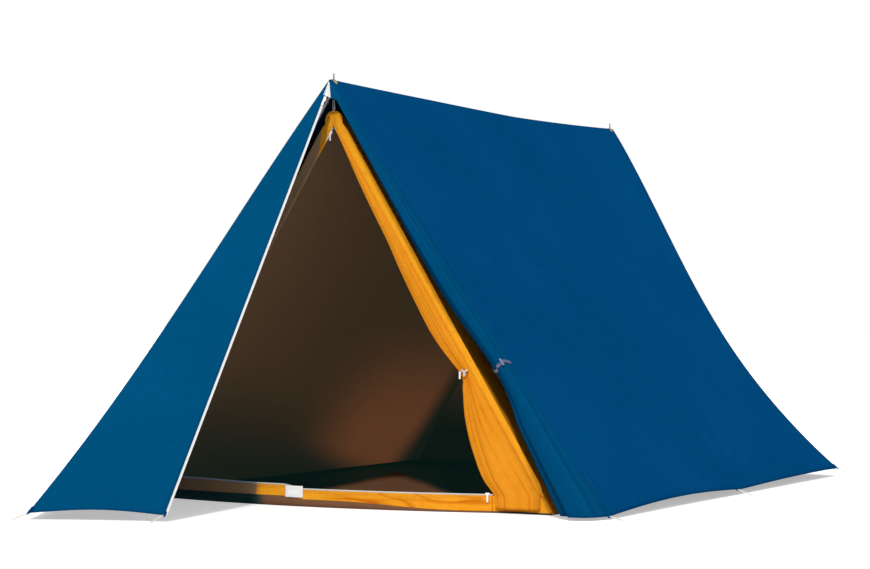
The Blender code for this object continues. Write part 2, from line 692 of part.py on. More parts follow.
def eyelet(name, y):
    """A brass eyelet pressed over the ridge round a spike, bent to the roof's two slopes."""
    hole = SPIKE_RADIUS + HOLE_FIT
    fall = (RIDGE_HEIGHT - HEM_AT_FRONT) / FLY_HALF_WIDTH
    lean = hypot(1, fall)
    rise = (FLY_CLOTH / 2 + SEAM_GAP) * lean
    bm = bmesh.new()
    profile = [bm.verts.new((radius, 0, 0)) for radius in (hole, EYELET_RADIUS)]
    edge = bm.edges.new(profile)
    bmesh.ops.spin(bm, geom=[*profile, edge], cent=(0, 0, 0), axis=(0, 0, 1), angle=2 * pi,
                   steps=24, use_merge=True)
    for vert in bm.verts:
        y_here = y + vert.co.y
        vert.co = Vector((vert.co.x, y_here, ridge_z(y_here) + rise - abs(vert.co.x) * fall))
    bm.normal_update()
    bmesh.ops.recalc_face_normals(bm, faces=bm.faces)
    if sum(face.normal.z for face in bm.faces) < 0:
        bmesh.ops.reverse_faces(bm, faces=bm.faces)
    obj = add_object(name, bm, BRASS, origin=(0, y, RIDGE_HEIGHT))
    solidify(obj, EYELET_THICKNESS, offset=1.0)


def peg_loop(name, hem, outward, parent=None):
    """An elastic loop from the hem down to the ground, where a peg would go through it."""
    outward = Vector(outward).normalized()
    sideways = Vector((-outward.y, outward.x, 0))
    radius = LOOP_CORD
    foot = hem + outward * (LOOP_LENGTH + radius)
    foot.z = radius + SEAM_GAP
    way = (foot - hem).normalized()
    start = hem + way * (FLY_CLOTH / 2 + SEAM_GAP + radius)
    centre = mix(start, foot, 0.5)
    points = ring_points(centre, (foot - start).length / 2, LOOP_WIDTH / 2, way, sideways, 12)
    bm = wire_mesh(points, radius, sides_level=1, cyclic=True)
    add_object(name, bm, PALE_ELASTIC, origin=start, parent=parent, smooth_angle=80)


# Poles
def leg_point(side, from_apex):
    """A point on a front leg's centre line, measured down from where the legs cross."""
    return Vector((side * LEG_SIN * from_apex, 0, LEG_APEX - LEG_COS * from_apex))


def lug(obj, name, centre, axis):
    """Joins a small eye to a fitting, with its hole along axis."""
    half = axis * (LUG_THICKNESS / 2)
    boolean(obj, cutter(name, rod_mesh(centre - half, centre + half, LUG_RADIUS, 20)), "UNION")


def lug_bore(obj, name, centre, axis):
    """Drills the eye."""
    half = axis * (3 * LUG_THICKNESS)
    boolean(obj, cutter(name, rod_mesh(centre - half, centre + half, LUG_HOLE, 16)))


def front_elbow(name):
    """The bent fitting that joins the two front legs, with its spike and an eye below."""
    steps = 10
    lean = asin(LEG_SIN)
    centre_z = ELBOW_TOP - ELBOW_RADIUS
    turn = pi / 2 - lean
    angles = [mix(-turn, turn, step / steps) for step in range(steps + 1)]
    bend = [Vector((ELBOW_RADIUS * sin(a), 0, centre_z + ELBOW_RADIUS * cos(a))) for a in angles]
    path = [leg_point(-1, ELBOW_ARM), *bend, leg_point(1, ELBOW_ARM)]
    obj = add_object(name, wire_mesh(path, INSERT_RADIUS, sides_level=6), STEEL)
    spike_low = Vector((0, 0, ELBOW_TOP))
    spike_high = Vector((0, 0, RIDGE_HEIGHT + SPIKE_REACH))
    spike = rod_mesh(spike_low, spike_high, SPIKE_RADIUS, 16, end_radius=SPIKE_RADIUS * 0.7)
    boolean(obj, cutter(name + "_spike", spike), "UNION")
    eye = Vector((0, 0, ELBOW_TOP - INSERT_RADIUS - LUG_RADIUS * 0.4))
    lug(obj, name + "_eye", eye, Vector((0, 1, 0)))
    hole = eye - Vector((0, 0, LUG_RADIUS * 0.35))
    lug_bore(obj, name + "_eye_hole", hole, Vector((0, 1, 0)))
    return hole


def hanger(ring_name, cord_name, hole, ring_down, ring_side, cord_end):
    """The wire ring in a fitting's eye and the cord that holds up the inner tent."""
    centre = hole + ring_down * (RING_RADIUS + LUG_HOLE - RING_WIRE - 2 * SEAM_GAP)
    points = ring_points(centre, RING_RADIUS, RING_RADIUS, ring_down, ring_side, 16)
    bm = wire_mesh(points, RING_WIRE, sides_level=1, cyclic=True)
    add_object(ring_name, bm, STEEL, origin=hole, smooth_angle=80)
    start = centre + ring_down * (RING_RADIUS + RING_WIRE + SEAM_GAP)
    rod(cord_name, start, cord_end, CORD_RADIUS, PALE_ELASTIC, sides=12, origin=start)


def foot_cap(name, ground_point, up, ground):
    """A rubber foot pushed over the end of a pole and worn flat on the ground."""
    radius = INSERT_RADIUS + SLIDE_FIT + FOOT_WALL
    low = ground_point - up * (2 * radius)
    obj = add_object(name, rod_mesh(low, ground_point + up * FOOT_HEIGHT, radius), BLACK_RUBBER)
    bore_low = ground_point + up * (FOOT_SOLE - SEAM_GAP)
    bore = rod_mesh(bore_low, ground_point + up * (2 * FOOT_HEIGHT), INSERT_RADIUS + SLIDE_FIT)
    boolean(obj, cutter(name + "_bore", bore))
    boolean(obj, ground)


def front_poles(ground):
    """The front frame: elbow, two legs of two sections each, and their feet."""
    hole = front_elbow("front_pole_elbow")
    top = ELBOW_ARM - ELBOW_COVERED
    split = LEG_LENGTH * LEG_SPLIT
    for side, word in ((-1, "left"), (1, "right")):
        tube(f"front_leg_{word}_upper", leg_point(side, split), leg_point(side, top),
             POLE_RADIUS, POLE_WALL, STEEL)
        tube(f"front_leg_{word}_lower", leg_point(side, LEG_LENGTH - FOOT_SOLE),
             leg_point(side, split - INSERT_LENGTH), INSERT_RADIUS, INSERT_WALL, STEEL)
        ground_point = leg_point(side, LEG_LENGTH)
        up = (leg_point(side, 0) - ground_point).normalized()
        foot_cap(f"front_foot_{word}", ground_point, up, ground)
    inner_top = Vector((0, 0, INNER_HEIGHT))
    hanger("front_hanger_ring", "front_hanger_cord", hole, Vector((0, 0, -1)),
           Vector((0, 1, 0)), inner_top)


def rear_pole(ground):
    """The rear upright: a capped top with its spike, two sections and a foot."""
    up = Vector((0, 0, 1))
    base = Vector((0, POLE_SPACING, 0))
    collar_low = LEG_APEX - REAR_COLLAR
    steps = ((RIDGE_HEIGHT + SPIKE_REACH, 0), (RIDGE_HEIGHT + SPIKE_REACH, SPIKE_RADIUS * 0.7),
             (LEG_APEX, SPIKE_RADIUS), (LEG_APEX, POLE_RADIUS), (collar_low, POLE_RADIUS),
             (collar_low, INSERT_RADIUS), (collar_low - ELBOW_COVERED, INSERT_RADIUS),
             (collar_low - ELBOW_COVERED, 0))
    bm = bmesh.new()
    profile = [bm.verts.new((radius, 0, z)) for z, radius in steps]
    edges = [bm.edges.new(pair) for pair in zip(profile, profile[1:])]
    bmesh.ops.spin(bm, geom=[*profile, *edges], cent=(0, 0, 0), axis=(0, 0, 1), angle=2 * pi,
                   steps=24, use_merge=True)
    bmesh.ops.remove_doubles(bm, verts=bm.verts, dist=0.00001)
    bmesh.ops.recalc_face_normals(bm, faces=bm.faces)
    bmesh.ops.translate(bm, verts=bm.verts, vec=base)
    top = add_object("rear_pole_top", bm, STEEL, origin=base + up * LEG_APEX)
    eye = Vector((0, POLE_SPACING - POLE_RADIUS - LUG_RADIUS * 0.5, LEG_APEX - REAR_COLLAR / 2))
    lug(top, "rear_eye", eye, Vector((1, 0, 0)))
    hole = eye - Vector((0, LUG_RADIUS * 0.3, 0))
    lug_bore(top, "rear_eye_hole", hole, Vector((1, 0, 0)))
    split = LEG_APEX * (1 - LEG_SPLIT)
    tube("rear_pole_upper", base + up * split, base + up * (collar_low - SEAM_GAP),
         POLE_RADIUS, POLE_WALL, STEEL)
    tube("rear_pole_lower", base + up * FOOT_SOLE, base + up * (split + INSERT_LENGTH),
         INSERT_RADIUS, INSERT_WALL, STEEL)
    foot_cap("rear_foot", base, up, ground)
    inner_top = Vector((0, INNER_REAR_TOP, ridge_z(POLE_SPACING, INNER_HEIGHT, INNER_SAG)))
    down = (inner_top - hole).normalized()
    hanger("rear_hanger_ring", "rear_hanger_cord", hole, down, Vector((1, 0, 0)), inner_top)


# Inner tent
def wall_x(z):
    """Half width of the inner tent at a height."""
    return INNER_HALF_WIDTH * (1 - z / INNER_HEIGHT)


def door_edge_x(z):
    """Half width of the doorway at a height."""
    foot = wall_x(STRIP_BOTTOM) - STRIP_FOOT
    return foot * (DOOR_APEX - z) / (DOOR_APEX - STRIP_BOTTOM)


def front_edge_y(x):
    """The front of the floor and the sill: an arc, and straight under the gathered door."""
    if x <= SILL_BOW_LEFT or x >= SILL_BOW_RIGHT:
        return 0.0
    return BOW_CENTRE.y - (BOW_RADIUS ** 2 - (x - BOW_CENTRE.x) ** 2) ** 0.5


def inner_rear_y(z):
    """The rear wall leans in a little towards its top."""
    return mix(INNER_REAR_FOOT, INNER_REAR_TOP, z / INNER_HEIGHT)


INNER_DOWN = Vector((INNER_HALF_WIDTH, 0, -INNER_HEIGHT))
INNER_REAR_DOWN = Vector((INNER_HALF_WIDTH, INNER_REAR_FOOT - INNER_REAR_TOP, -INNER_HEIGHT))
ACROSS = Vector((-1, 0, 0))
INNER_RIDGE_TRIM = setback(BACK, INNER_DOWN, mirrored(INNER_DOWN), INNER_CLOTH)
WALL_FRONT_TRIM = setback(INNER_DOWN, BACK, ACROSS, INNER_CLOTH)
WALL_REAR_TRIM = setback(INNER_REAR_DOWN, -BACK, ACROSS, INNER_CLOTH)
FRONT_TRIM = setback(INNER_DOWN, ACROSS, BACK, INNER_CLOTH)
REAR_TRIM = setback(INNER_REAR_DOWN, ACROSS, -BACK, INNER_CLOTH)


def inner_wall(name, side):
    """A side wall of the inner tent, from its ridge to the groundsheet."""
    def place(u, v):
        z = mix(INNER_HEIGHT * (1 - INNER_RIDGE_TRIM / INNER_DOWN.length), WALL_FOOT, u)
        y = mix(WALL_FRONT_TRIM, inner_rear_y(z) - WALL_REAR_TRIM, v)
        hang = (INNER_HEIGHT - ridge_z(y, INNER_HEIGHT, INNER_SAG, INNER_REAR_TOP)) * (1 - u)
        return Vector((side * wall_x(z), y, z - hang))
    cloth(name, 8, 10, place, INNER_CLOTH, ORANGE_INNER)


def inner_rear_wall(name):
    """The triangular rear wall."""
    def place(u, v):
        z = mix(INNER_HEIGHT - 8 * INNER_CLOTH, WALL_FOOT, v)
        half = wall_x(z) - REAR_TRIM
        return Vector((mix(-half, half, u), inner_rear_y(z), z))
    cloth(name, 8, 8, place, INNER_CLOTH, ORANGE_INNER)


def front_strip(name, side):
    """The strip of wall between a side seam and the doorway, closed above the doorway."""
    def place(u, v):
        z = mix(STRIP_BOTTOM, INNER_HEIGHT - 6 * INNER_CLOTH, v)
        inner = max(door_edge_x(z), SEAM_GAP / 2)
        return Vector((side * mix(inner, wall_x(z) - FRONT_TRIM, u), 0, z))
    cloth(name, 2, 24, place, INNER_CLOTH, ORANGE_INNER)


def sill(name):
    """The low wall under the doorway, which bows forward."""
    def place(u, v):
        z = mix(RIM_HEIGHT + SEAM_GAP, SILL_HEIGHT, v)
        half = wall_x(z) - FRONT_TRIM
        x = mix(-half, half, u)
        return Vector((x, front_edge_y(x), z))
    cloth(name, 40, 1, place, INNER_CLOTH, ORANGE_INNER)


def groundsheet(name):
    """The waterproof floor, with its edge turned up under the walls."""
    half = wall_x(RIM_HEIGHT) - RIM_LEAN
    rear = INNER_REAR_FOOT - RIM_LEAN
    columns, rows = 34, 4

    def place(u, v):
        column, row = round(u * columns), round(v * rows)
        flat_column = min(max(column, 1), columns - 1)
        flat_row = min(max(row, 1), rows - 1)
        x = mix(-half, half, (flat_column - 1) / (columns - 2)) + RIM_LEAN * (column - flat_column)
        front = front_edge_y(x) + RIM_LEAN
        y = mix(front, rear, (flat_row - 1) / (rows - 2)) + RIM_LEAN * (row - flat_row)
        on_rim = column != flat_column or row != flat_row
        return Vector((x, y, RIM_HEIGHT if on_rim else 0))
    cloth(name, columns, rows, place, GROUNDSHEET, BROWN_PVC, offset=1.0)


def gathered_door(name):
    """The inner door drawn to the right: narrow above its tie, fanned out below it."""
    def place(u, v):
        if v < DOOR_TIE_ROW:
            z = mix(DOOR_TOP, DOOR_TIE, v / DOOR_TIE_ROW)
        else:
            z = mix(DOOR_TIE, DOOR_FOOT, (v - DOOR_TIE_ROW) / (1 - DOOR_TIE_ROW))
        width = station(DOOR_GATHER, z, 1)
        edge = door_edge_x(z) if z > STRIP_BOTTOM else door_edge_x(STRIP_BOTTOM)
        x = mix(edge - width, edge + DOOR_LAP, u)
        small = min(width / 0.05, 1) ** 2
        depth = DOOR_FULLNESS * width / DOOR_PLEATS * small
        loose = max(DOOR_TIE - z, 0) / DOOR_TIE
        ahead = DOOR_STANDOFF * loose * (1 - u ** 4)
        pleat = depth * (0.5 - 0.5 * cos(2 * pi * DOOR_PLEATS * u))
        return Vector((x, -INNER_CLOTH - SEAM_GAP - ahead - pleat, z))
    cloth(name, 20, 15, place, INNER_CLOTH, ORANGE_INNER)


def door_tie(loop_name, toggle_name):
    """The cord round the gathered door and its toggle."""
    edge = door_edge_x(DOOR_TIE)
    width = station(DOOR_GATHER, DOOR_TIE, 1)
    depth = DOOR_FULLNESS * width / DOOR_PLEATS
    clear = CORD_RADIUS + SEAM_GAP + INNER_CLOTH / 2
    front = -INNER_CLOTH - SEAM_GAP - depth - clear
    back = clear
    left = edge - width - clear - TIE_SLACK
    right = edge + DOOR_LAP + clear
    middle = (front + back) / 2
    bend = (back - front) / 2
    points = [Vector((right, front / 2, DOOR_TIE)), Vector((right - clear, front, DOOR_TIE))]
    angles = [mix(-pi / 2, pi / 2, step / 8) for step in range(9)]
    points += [Vector((left + bend * (1 - cos(a)), middle + bend * sin(a), DOOR_TIE))
               for a in angles]
    points.append(Vector((edge - 2 * clear, back, DOOR_TIE)))
    bm = wire_mesh(points, CORD_RADIUS, sides_level=2)
    add_object(loop_name, bm, PALE_ELASTIC, origin=(edge, 0, DOOR_TIE), smooth_angle=60)
    reach = CORD_RADIUS + SEAM_GAP + TOGGLE_RADIUS
    seat = Vector((left + bend, front - reach, DOOR_TIE))
    half = Vector((0, 0, TOGGLE_LENGTH / 2))
    rod(toggle_name, seat - half, seat + half, TOGGLE_RADIUS, WHITE_PLASTIC, sides=12,
        origin=seat)


def sill_zip():
    """The zip along the sill, with the slider that runs round its arc."""
    def tape(u, v):
        x = mix(SILL_ZIP_LEFT, SILL_ZIP_RIGHT, u)
        z = mix(SILL_HEIGHT + SEAM_GAP, SILL_HEIGHT + SEAM_GAP + SILL_TAPE, v)
        return Vector((x, front_edge_y(x), z))
    cloth("sill_zip_tape", 36, 1, tape, TAPE_THICKNESS, WHITE_TAPE)
    at = Vector((SILL_PARK, front_edge_y(SILL_PARK), SILL_HEIGHT + SEAM_GAP + SILL_TAPE))
    normal = (at - BOW_CENTRE)
    normal.z = 0
    normal.normalize()
    up = Vector((0, 0, 1))
    pivot = slider("sill_zip_slider", at, normal.cross(up), up, normal,
                   SILL_TAPE - SEAM_GAP, TAPE_THICKNESS, None)
    pull("sill_zip_pull", pivot, -up, normal, None)


def door_zip():
    """The zip up the left side of the doorway, with its slider at the top."""
    top = Vector((-door_edge_x(DOOR_APEX - DOOR_ZIP_PARK), 0, DOOR_APEX - DOOR_ZIP_PARK))
    foot = Vector((-door_edge_x(DOOR_ZIP_FOOT), 0, DOOR_ZIP_FOOT))
    down = (foot - top).normalized()
    inward = Vector((-down.z, 0, down.x))
    if inward.x < 0:
        inward = -inward

    def tape(u, v):
        return mix(top, foot, v) + inward * mix(SEAM_GAP, DOOR_TAPE_WIDTH, u)
    cloth("door_zip_tape_left", 1, 12, tape, TAPE_THICKNESS, WHITE_TAPE)

    def short_tape(u, v):
        start = Vector((door_edge_x(top.z), 0, top.z))
        end = Vector((door_edge_x(top.z - RIGHT_TAPE_LENGTH), 0, top.z - RIGHT_TAPE_LENGTH))
        back = INNER_CLOTH + SEAM_GAP + TAPE_THICKNESS / 2
        return mix(start, end, v) + Vector((-DOOR_TAPE_WIDTH * u, back, 0))
    cloth("door_zip_tape_right", 1, 4, short_tape, TAPE_THICKNESS, WHITE_TAPE)

    at = top + down * SLIDER_LENGTH + inward * DOOR_TAPE_WIDTH
    forward = Vector((0, -1, 0))
    pivot = slider("door_zip_slider", at, down, inward, forward, DOOR_TAPE_WIDTH - SEAM_GAP,
                   TAPE_THICKNESS, None)
    pull("door_zip_pull", pivot, Vector((0, 0, -1)), forward, None)


def sewn_label(name):
    """A blank tag sewn on the front of the sill."""
    back = INNER_CLOTH / 2 + SEAM_GAP + LABEL_THICKNESS / 2

    def place(u, v):
        x = LABEL_LEFT + LABEL_WIDTH * u
        z = mix(SILL_HEIGHT - LABEL_HEIGHT, SILL_HEIGHT, v)
        return Vector((x, front_edge_y(x) - back, z))
    cloth(name, 4, 1, place, LABEL_THICKNESS, BLANK_LABEL)


def flysheet():
    """Every cloth panel of the flysheet, with its zip, tie, eyelets and peg loops."""
    spikes = [spike_cutter("front_spike_hole", 0), spike_cutter("rear_spike_hole", POLE_SPACING)]
    for side, word in ((-1, "left"), (1, "right")):
        roof_slope(f"fly_slope_{word}", side, spikes)
        rear_panel(f"fly_rear_{word}", side)
    cloth("porch_side_left", 8, 16, side_point, FLY_CLOTH, BLUE_FLY)
    cloth("porch_top_right", 4, 4, porch_top_point, FLY_CLOTH, BLUE_FLY)
    leaf = add_empty("porch_leaf_hinge", FOLD_PEG)
    cloth("porch_leaf_left", 6, 16, leaf_point, FLY_CLOTH, BLUE_FLY, origin=FOLD_PEG,
          parent=leaf)
    fly_zip(leaf)
    rolled_half("porch_right_rolled")
    roll_tie("roll_strap", "roll_toggle")
    eyelet("front_eyelet", 0)
    eyelet("rear_eyelet", POLE_SPACING)
    for side, word in ((-1, "left"), (1, "right")):
        peg_loop(f"peg_loop_front_{word}", slope_point(side, 1, 0), (side, -0.3, 0))
        peg_loop(f"peg_loop_middle_{word}", slope_point(side, 1, 0.5), (side, 0, 0))
        peg_loop(f"peg_loop_rear_{word}", slope_point(side, 1, 1), (side, 0.6, 0))
    peg_loop("peg_loop_rear_centre", rear_centre(1), (0, 1, 0))
    peg_loop("peg_loop_fold", side_point(1, 1), (FOLD_PEG.x, FOLD_PEG.y, 0))
    peg_loop("peg_loop_zip", leaf_point(1, 1), (ZIP_PEG.x, ZIP_PEG.y, 0), parent=leaf)


def inner_tent():
    """Every piece of the inner tent."""
    for side, word in ((-1, "left"), (1, "right")):
        inner_wall(f"inner_wall_{word}", side)
        front_strip(f"inner_front_{word}", side)
    inner_rear_wall("inner_rear_wall")
    sill("inner_sill")
    groundsheet("groundsheet")
    gathered_door("inner_door")
    door_tie("door_tie_cord", "door_toggle")
    sill_zip()
    door_zip()
    sewn_label("sewn_label")


ground_tool = cutter("ground", box_mesh((0, 0, -0.5), (6, 6, 1)))
front_poles(ground_tool)
rear_pole(ground_tool)
flysheet()
inner_tent()
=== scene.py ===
# %% [markdown]
# # Ridge tent: the looks
# The object is a pitched two-person ridge tent: a blue cotton flysheet with a porch, over an
# orange inner tent with a sewn-in floor. Its CAD model is already packed, so this lesson loads
# it as a fixed frame and dresses it. Lengths are metres, +Z is up, +Y runs to the rear, and +X
# is to the right of someone who looks in at the door.

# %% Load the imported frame
from math import atan2, cos, degrees, exp, hypot, pi, radians, sin

import bmesh
import bpy
from mathutils import Matrix, Vector, noise


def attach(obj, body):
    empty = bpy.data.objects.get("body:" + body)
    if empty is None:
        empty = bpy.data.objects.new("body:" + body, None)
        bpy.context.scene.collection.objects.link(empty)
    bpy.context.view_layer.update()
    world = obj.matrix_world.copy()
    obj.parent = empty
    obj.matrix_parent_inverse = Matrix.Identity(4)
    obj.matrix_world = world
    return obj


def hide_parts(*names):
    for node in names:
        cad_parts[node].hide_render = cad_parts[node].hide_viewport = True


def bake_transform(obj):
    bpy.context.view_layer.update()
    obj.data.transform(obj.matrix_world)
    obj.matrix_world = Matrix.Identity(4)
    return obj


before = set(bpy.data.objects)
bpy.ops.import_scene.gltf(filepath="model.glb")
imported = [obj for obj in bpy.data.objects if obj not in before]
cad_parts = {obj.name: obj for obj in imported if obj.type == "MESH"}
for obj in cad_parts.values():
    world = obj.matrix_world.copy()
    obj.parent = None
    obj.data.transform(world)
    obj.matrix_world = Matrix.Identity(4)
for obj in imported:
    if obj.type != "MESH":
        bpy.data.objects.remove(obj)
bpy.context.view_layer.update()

# %% [markdown]
# ## Camera
# A long lens looks at the tent from a few steps away, a little below its middle. A camera can
# be placed by eye, but then every edge is a little off. This one's place and turn were fitted
# to the ridge, the hem corners and the doorway, so the outline falls in place.

# %% Place the camera
LENS, SENSOR = 91.0, 36.0
CAMERA_PLACE = (3.84, -6.16, 0.624)
CAMERA_PITCH, CAMERA_YAW = 0.80, 29.30

scene = bpy.context.scene
camera_data = bpy.data.cameras.new("camera")
camera_data.lens = LENS
camera_data.sensor_width = SENSOR
camera = bpy.data.objects.new("camera", camera_data)
camera.location = CAMERA_PLACE
camera.rotation_euler = (radians(90 + CAMERA_PITCH), 0, radians(CAMERA_YAW))
scene.collection.objects.link(camera)
scene.camera = camera
scene.view_settings.view_transform = "Standard"
print("Camera at", CAMERA_PLACE)

# %% [markdown]
# ## Directions and mixing
# Most of a tent is straight between two places, and the rest changes smoothly from one to the
# other. Blender's `lerp` mixes vectors only, and widths have to be mixed too, so `mix` is
# written for both. `ease` is the same with a soft start and end.

# %% Directions, mixing and easing
BACK, FORWARD = Vector((0, 1, 0)), Vector((0, -1, 0))
UP, SIDEWAYS = Vector((0, 0, 1)), Vector((1, 0, 0))
SIDES = ((-1, "left"), (1, "right"))


def mix(a, b, share):
    """The value or point at a share of the way from a to b."""
    return a + (b - a) * share


def ease(value, low, high):
    """0 up to low, 1 from high, and smooth between them."""
    share = min(max((value - low) / (high - low), 0), 1)
    return share * share * (3 - 2 * share)


print("A smooth step is", ease(0.25, 0, 1), "high a quarter of the way along")

# %% [markdown]
# ## Bumps and creases
# A fold in cloth is round, and a crease is sharp. A sine wave would repeat where only one fold
# is wanted. So a bell curve makes one round bump, and a curve with a point one sharp crease.


# %% One bump or one crease
def band(value, centre, width):
    """A smooth bump of height 1 round a centre."""
    return exp(-((value - centre) / width) ** 2)


def groove(value, centre, width):
    """A sharp crease of depth 1 at a centre."""
    return exp(-abs(value - centre) / width)


print(f"One width away, a bump is {band(1, 0, 1):.2f} high and a crease {groove(1, 0, 1):.2f}")

# %% [markdown]
# ## Reading smooth shapes
# Cloth has no corners along its length. Every width and depth that changes down a piece is
# given at a few stations, and read between them. Blender's own curves could do that, but they
# overshoot beside a narrow place such as a tie, so `curve_through` is a curve that doesn't.


# %% A curve through stations
def curve_through(stations):
    """A function that runs smoothly through stations and never overshoots them."""
    rows = sorted(stations)
    steps = [(b[1] - a[1]) / (b[0] - a[0]) for a, b in zip(rows, rows[1:])]
    slopes = [steps[0]]
    for before, after in zip(steps, steps[1:]):
        turns_back = before * after <= 0
        slopes.append(0.0 if turns_back else 2 * before * after / (before + after))
    slopes.append(steps[-1])

    def read(place):
        place = min(max(place, rows[0][0]), rows[-1][0])
        i = next(i for i in range(len(steps)) if place <= rows[i + 1][0])
        (low, start), (high, end) = rows[i], rows[i + 1]
        wide = high - low
        t = (place - low) / wide
        return ((1 + 2 * t) * (1 - t) ** 2 * start + t * (1 - t) ** 2 * wide * slopes[i]
                + t * t * (3 - 2 * t) * end + t * t * (t - 1) * wide * slopes[i + 1])
    return read


print("Half way from 1 to 3 the curve reads", curve_through(((0, 1), (1, 3)))(0.5))

# %% [markdown]
# ## Lines of the flysheet
# A ridge tent is drawn from a few lines: the ridge that sags between two poles, the hem that
# lifts between its pegs, the front seams and the cut-in rear edge. The cloth could be simulated
# from flat panels, but then it wouldn't end just on these lines. They repeat the values of the
# CAD model, because the cloth has to lie where the solids are.

# %% Ridge and hem
RIDGE_HEIGHT, RIDGE_SAG = 1.400, 0.020
POLE_SPACING = 2.170
RIDGE_FRONT, RIDGE_REAR = -0.027, POLE_SPACING + 0.030
FLY_HALF_WIDTH = 1.017
HEM_FRONT, MIDDLE_PEG, HEM_REAR = -0.040, 1.050, POLE_SPACING - 0.095
HEM_AT_FRONT, HEM_AT_MIDDLE, HEM_AT_REAR = 0.010, 0.018, 0.029
HEM_LIFT_FRONT, HEM_LIFT_REAR, HEM_LIFT_END = 0.018, 0.005, 0.012


def ridge_z(y, height=RIDGE_HEIGHT, sag=RIDGE_SAG, span=POLE_SPACING):
    """Height of a ridge that hangs between its two poles."""
    share = min(max(y / span, 0), 1)
    return height - 4 * sag * share * (1 - share)


def hem_z(y):
    """Height of the side hem, low at each peg point and lifted between them."""
    if y <= MIDDLE_PEG:
        share = max(y - HEM_FRONT, 0) / (MIDDLE_PEG - HEM_FRONT)
        return mix(HEM_AT_FRONT, HEM_AT_MIDDLE, share) + HEM_LIFT_FRONT * sin(pi * share)
    share = min((y - MIDDLE_PEG) / (HEM_REAR - MIDDLE_PEG), 1)
    return mix(HEM_AT_MIDDLE, HEM_AT_REAR, share) + HEM_LIFT_REAR * sin(pi * share)


print(f"Half way along, the ridge is {ridge_z(POLE_SPACING / 2):.3f} m high")

# %% [markdown]
# ## Surface of the roof
# A slope is one panel of cloth, pulled from the ridge to the pegs. It is nearly flat between
# them, so each of its points is a mix of a ridge point and a hem point, which is simpler than a
# surface patch and gives the same shape. The rear edge is cut in as a tent maker cuts it, so
# that it stays tight when its corners are pulled.

# %% Roof, seams and rear edge
RIDGE_TENSION, TENSE_SHARE = 0.006, 0.6      # the front of the ridge hangs straighter
REAR_EDGE_INSET, REAR_EDGE_SKEW, REAR_EDGE_FULLNESS = 0.272, 1.6, 0.85
REAR_APSE = 0.160           # how far the rear end reaches behind the rear pole


def rear_edge_y(across):
    """The rear edge of the roof, cut in so that it stays tight."""
    cut = REAR_EDGE_INSET * sin(pi * across ** REAR_EDGE_SKEW) ** REAR_EDGE_FULLNESS
    return mix(RIDGE_REAR, HEM_REAR, across) - cut


def roof_point(side, across, along_share):
    """A point of the roof: across from ridge to hem, along_share from front to rear edge."""
    y = mix(mix(RIDGE_FRONT, HEM_FRONT, across), rear_edge_y(across), along_share)
    share = min(max(y / POLE_SPACING, 0), TENSE_SHARE) / TENSE_SHARE
    ridge = ridge_z(y) + RIDGE_TENSION * sin(pi * share)
    return Vector((side * FLY_HALF_WIDTH * across, y, mix(ridge, hem_z(y), across)))


def front_seam(side, down):
    """The seam where a porch half is sewn to the roof."""
    return roof_point(side, down, 0)


def rear_centre(down):
    """The seam between the two halves of the rear end."""
    return Vector((0, mix(RIDGE_REAR, POLE_SPACING + REAR_APSE, down),
                   roof_point(1, down, 1).z))


SLOPE_LENGTH = (front_seam(1, 1) - front_seam(1, 0)).length
SLOPE_DOWN = (front_seam(1, 1) - front_seam(1, 0)).normalized()
print(f"The slope is {SLOPE_LENGTH:.3f} m from ridge to hem")

# %% [markdown]
# ## Lines of the porch
# The left porch half folds outwards at a peg and ends at the zip, which runs straight to its
# own peg. A straight fold would be simpler, but cloth that is cut straight flaps, so the real
# fold is cut to a hollow curve, and the curve shows in the outline.

# %% Fold and zip
RIDGE_TIP = Vector((0, RIDGE_FRONT, RIDGE_HEIGHT))
FOLD_PEG = Vector((-0.533, -0.909, 0.020))
ZIP_PEG = Vector((-0.131, -0.761, 0.020))
FOLD_HOLLOW = 0.028         # how far the fold's curve is cut in
FOLD_HOLLOW_PEAK, FOLD_HOLLOW_SKEW = 0.137, 2.2     # its curve's highest value, and its lean
PORCH_HEM_LIFT = 0.014

TO_ZIP = (ZIP_PEG - FOLD_PEG).normalized()
ZIP_LENGTH = (ZIP_PEG - RIDGE_TIP).length
ZIP_DOWN = (ZIP_PEG - RIDGE_TIP).normalized()
LEAF_OUT = (FOLD_PEG - RIDGE_TIP).cross(ZIP_PEG - RIDGE_TIP).normalized()
LEAF_OUT = -LEAF_OUT if LEAF_OUT.y > 0 else LEAF_OUT
TAPE_OUT = ZIP_DOWN.cross(LEAF_OUT)
TAPE_OUT = -TAPE_OUT if TAPE_OUT.x < 0 else TAPE_OUT


def fold_line(down):
    """The fold of the left porch half, hollow between the ridge and its peg."""
    hollow = FOLD_HOLLOW * down ** FOLD_HOLLOW_SKEW * (1 - down) / FOLD_HOLLOW_PEAK
    return mix(RIDGE_TIP, FOLD_PEG, down) + TO_ZIP * hollow


def zip_line(down):
    """The free edge of the left porch half."""
    return mix(RIDGE_TIP, ZIP_PEG, down)


print(f"The porch zip is {ZIP_LENGTH:.3f} m long")

# %% [markdown]
# ## Lines of the inner tent
# The inner tent is a smaller ridge tent under the flysheet. Its doorway is a triangle. The low
# sill under it is slack, so it bows forward. It could be drawn freehand. A circle's arc is
# close to the way a slack strip hangs, and lets the zip's slider turn about one centre.

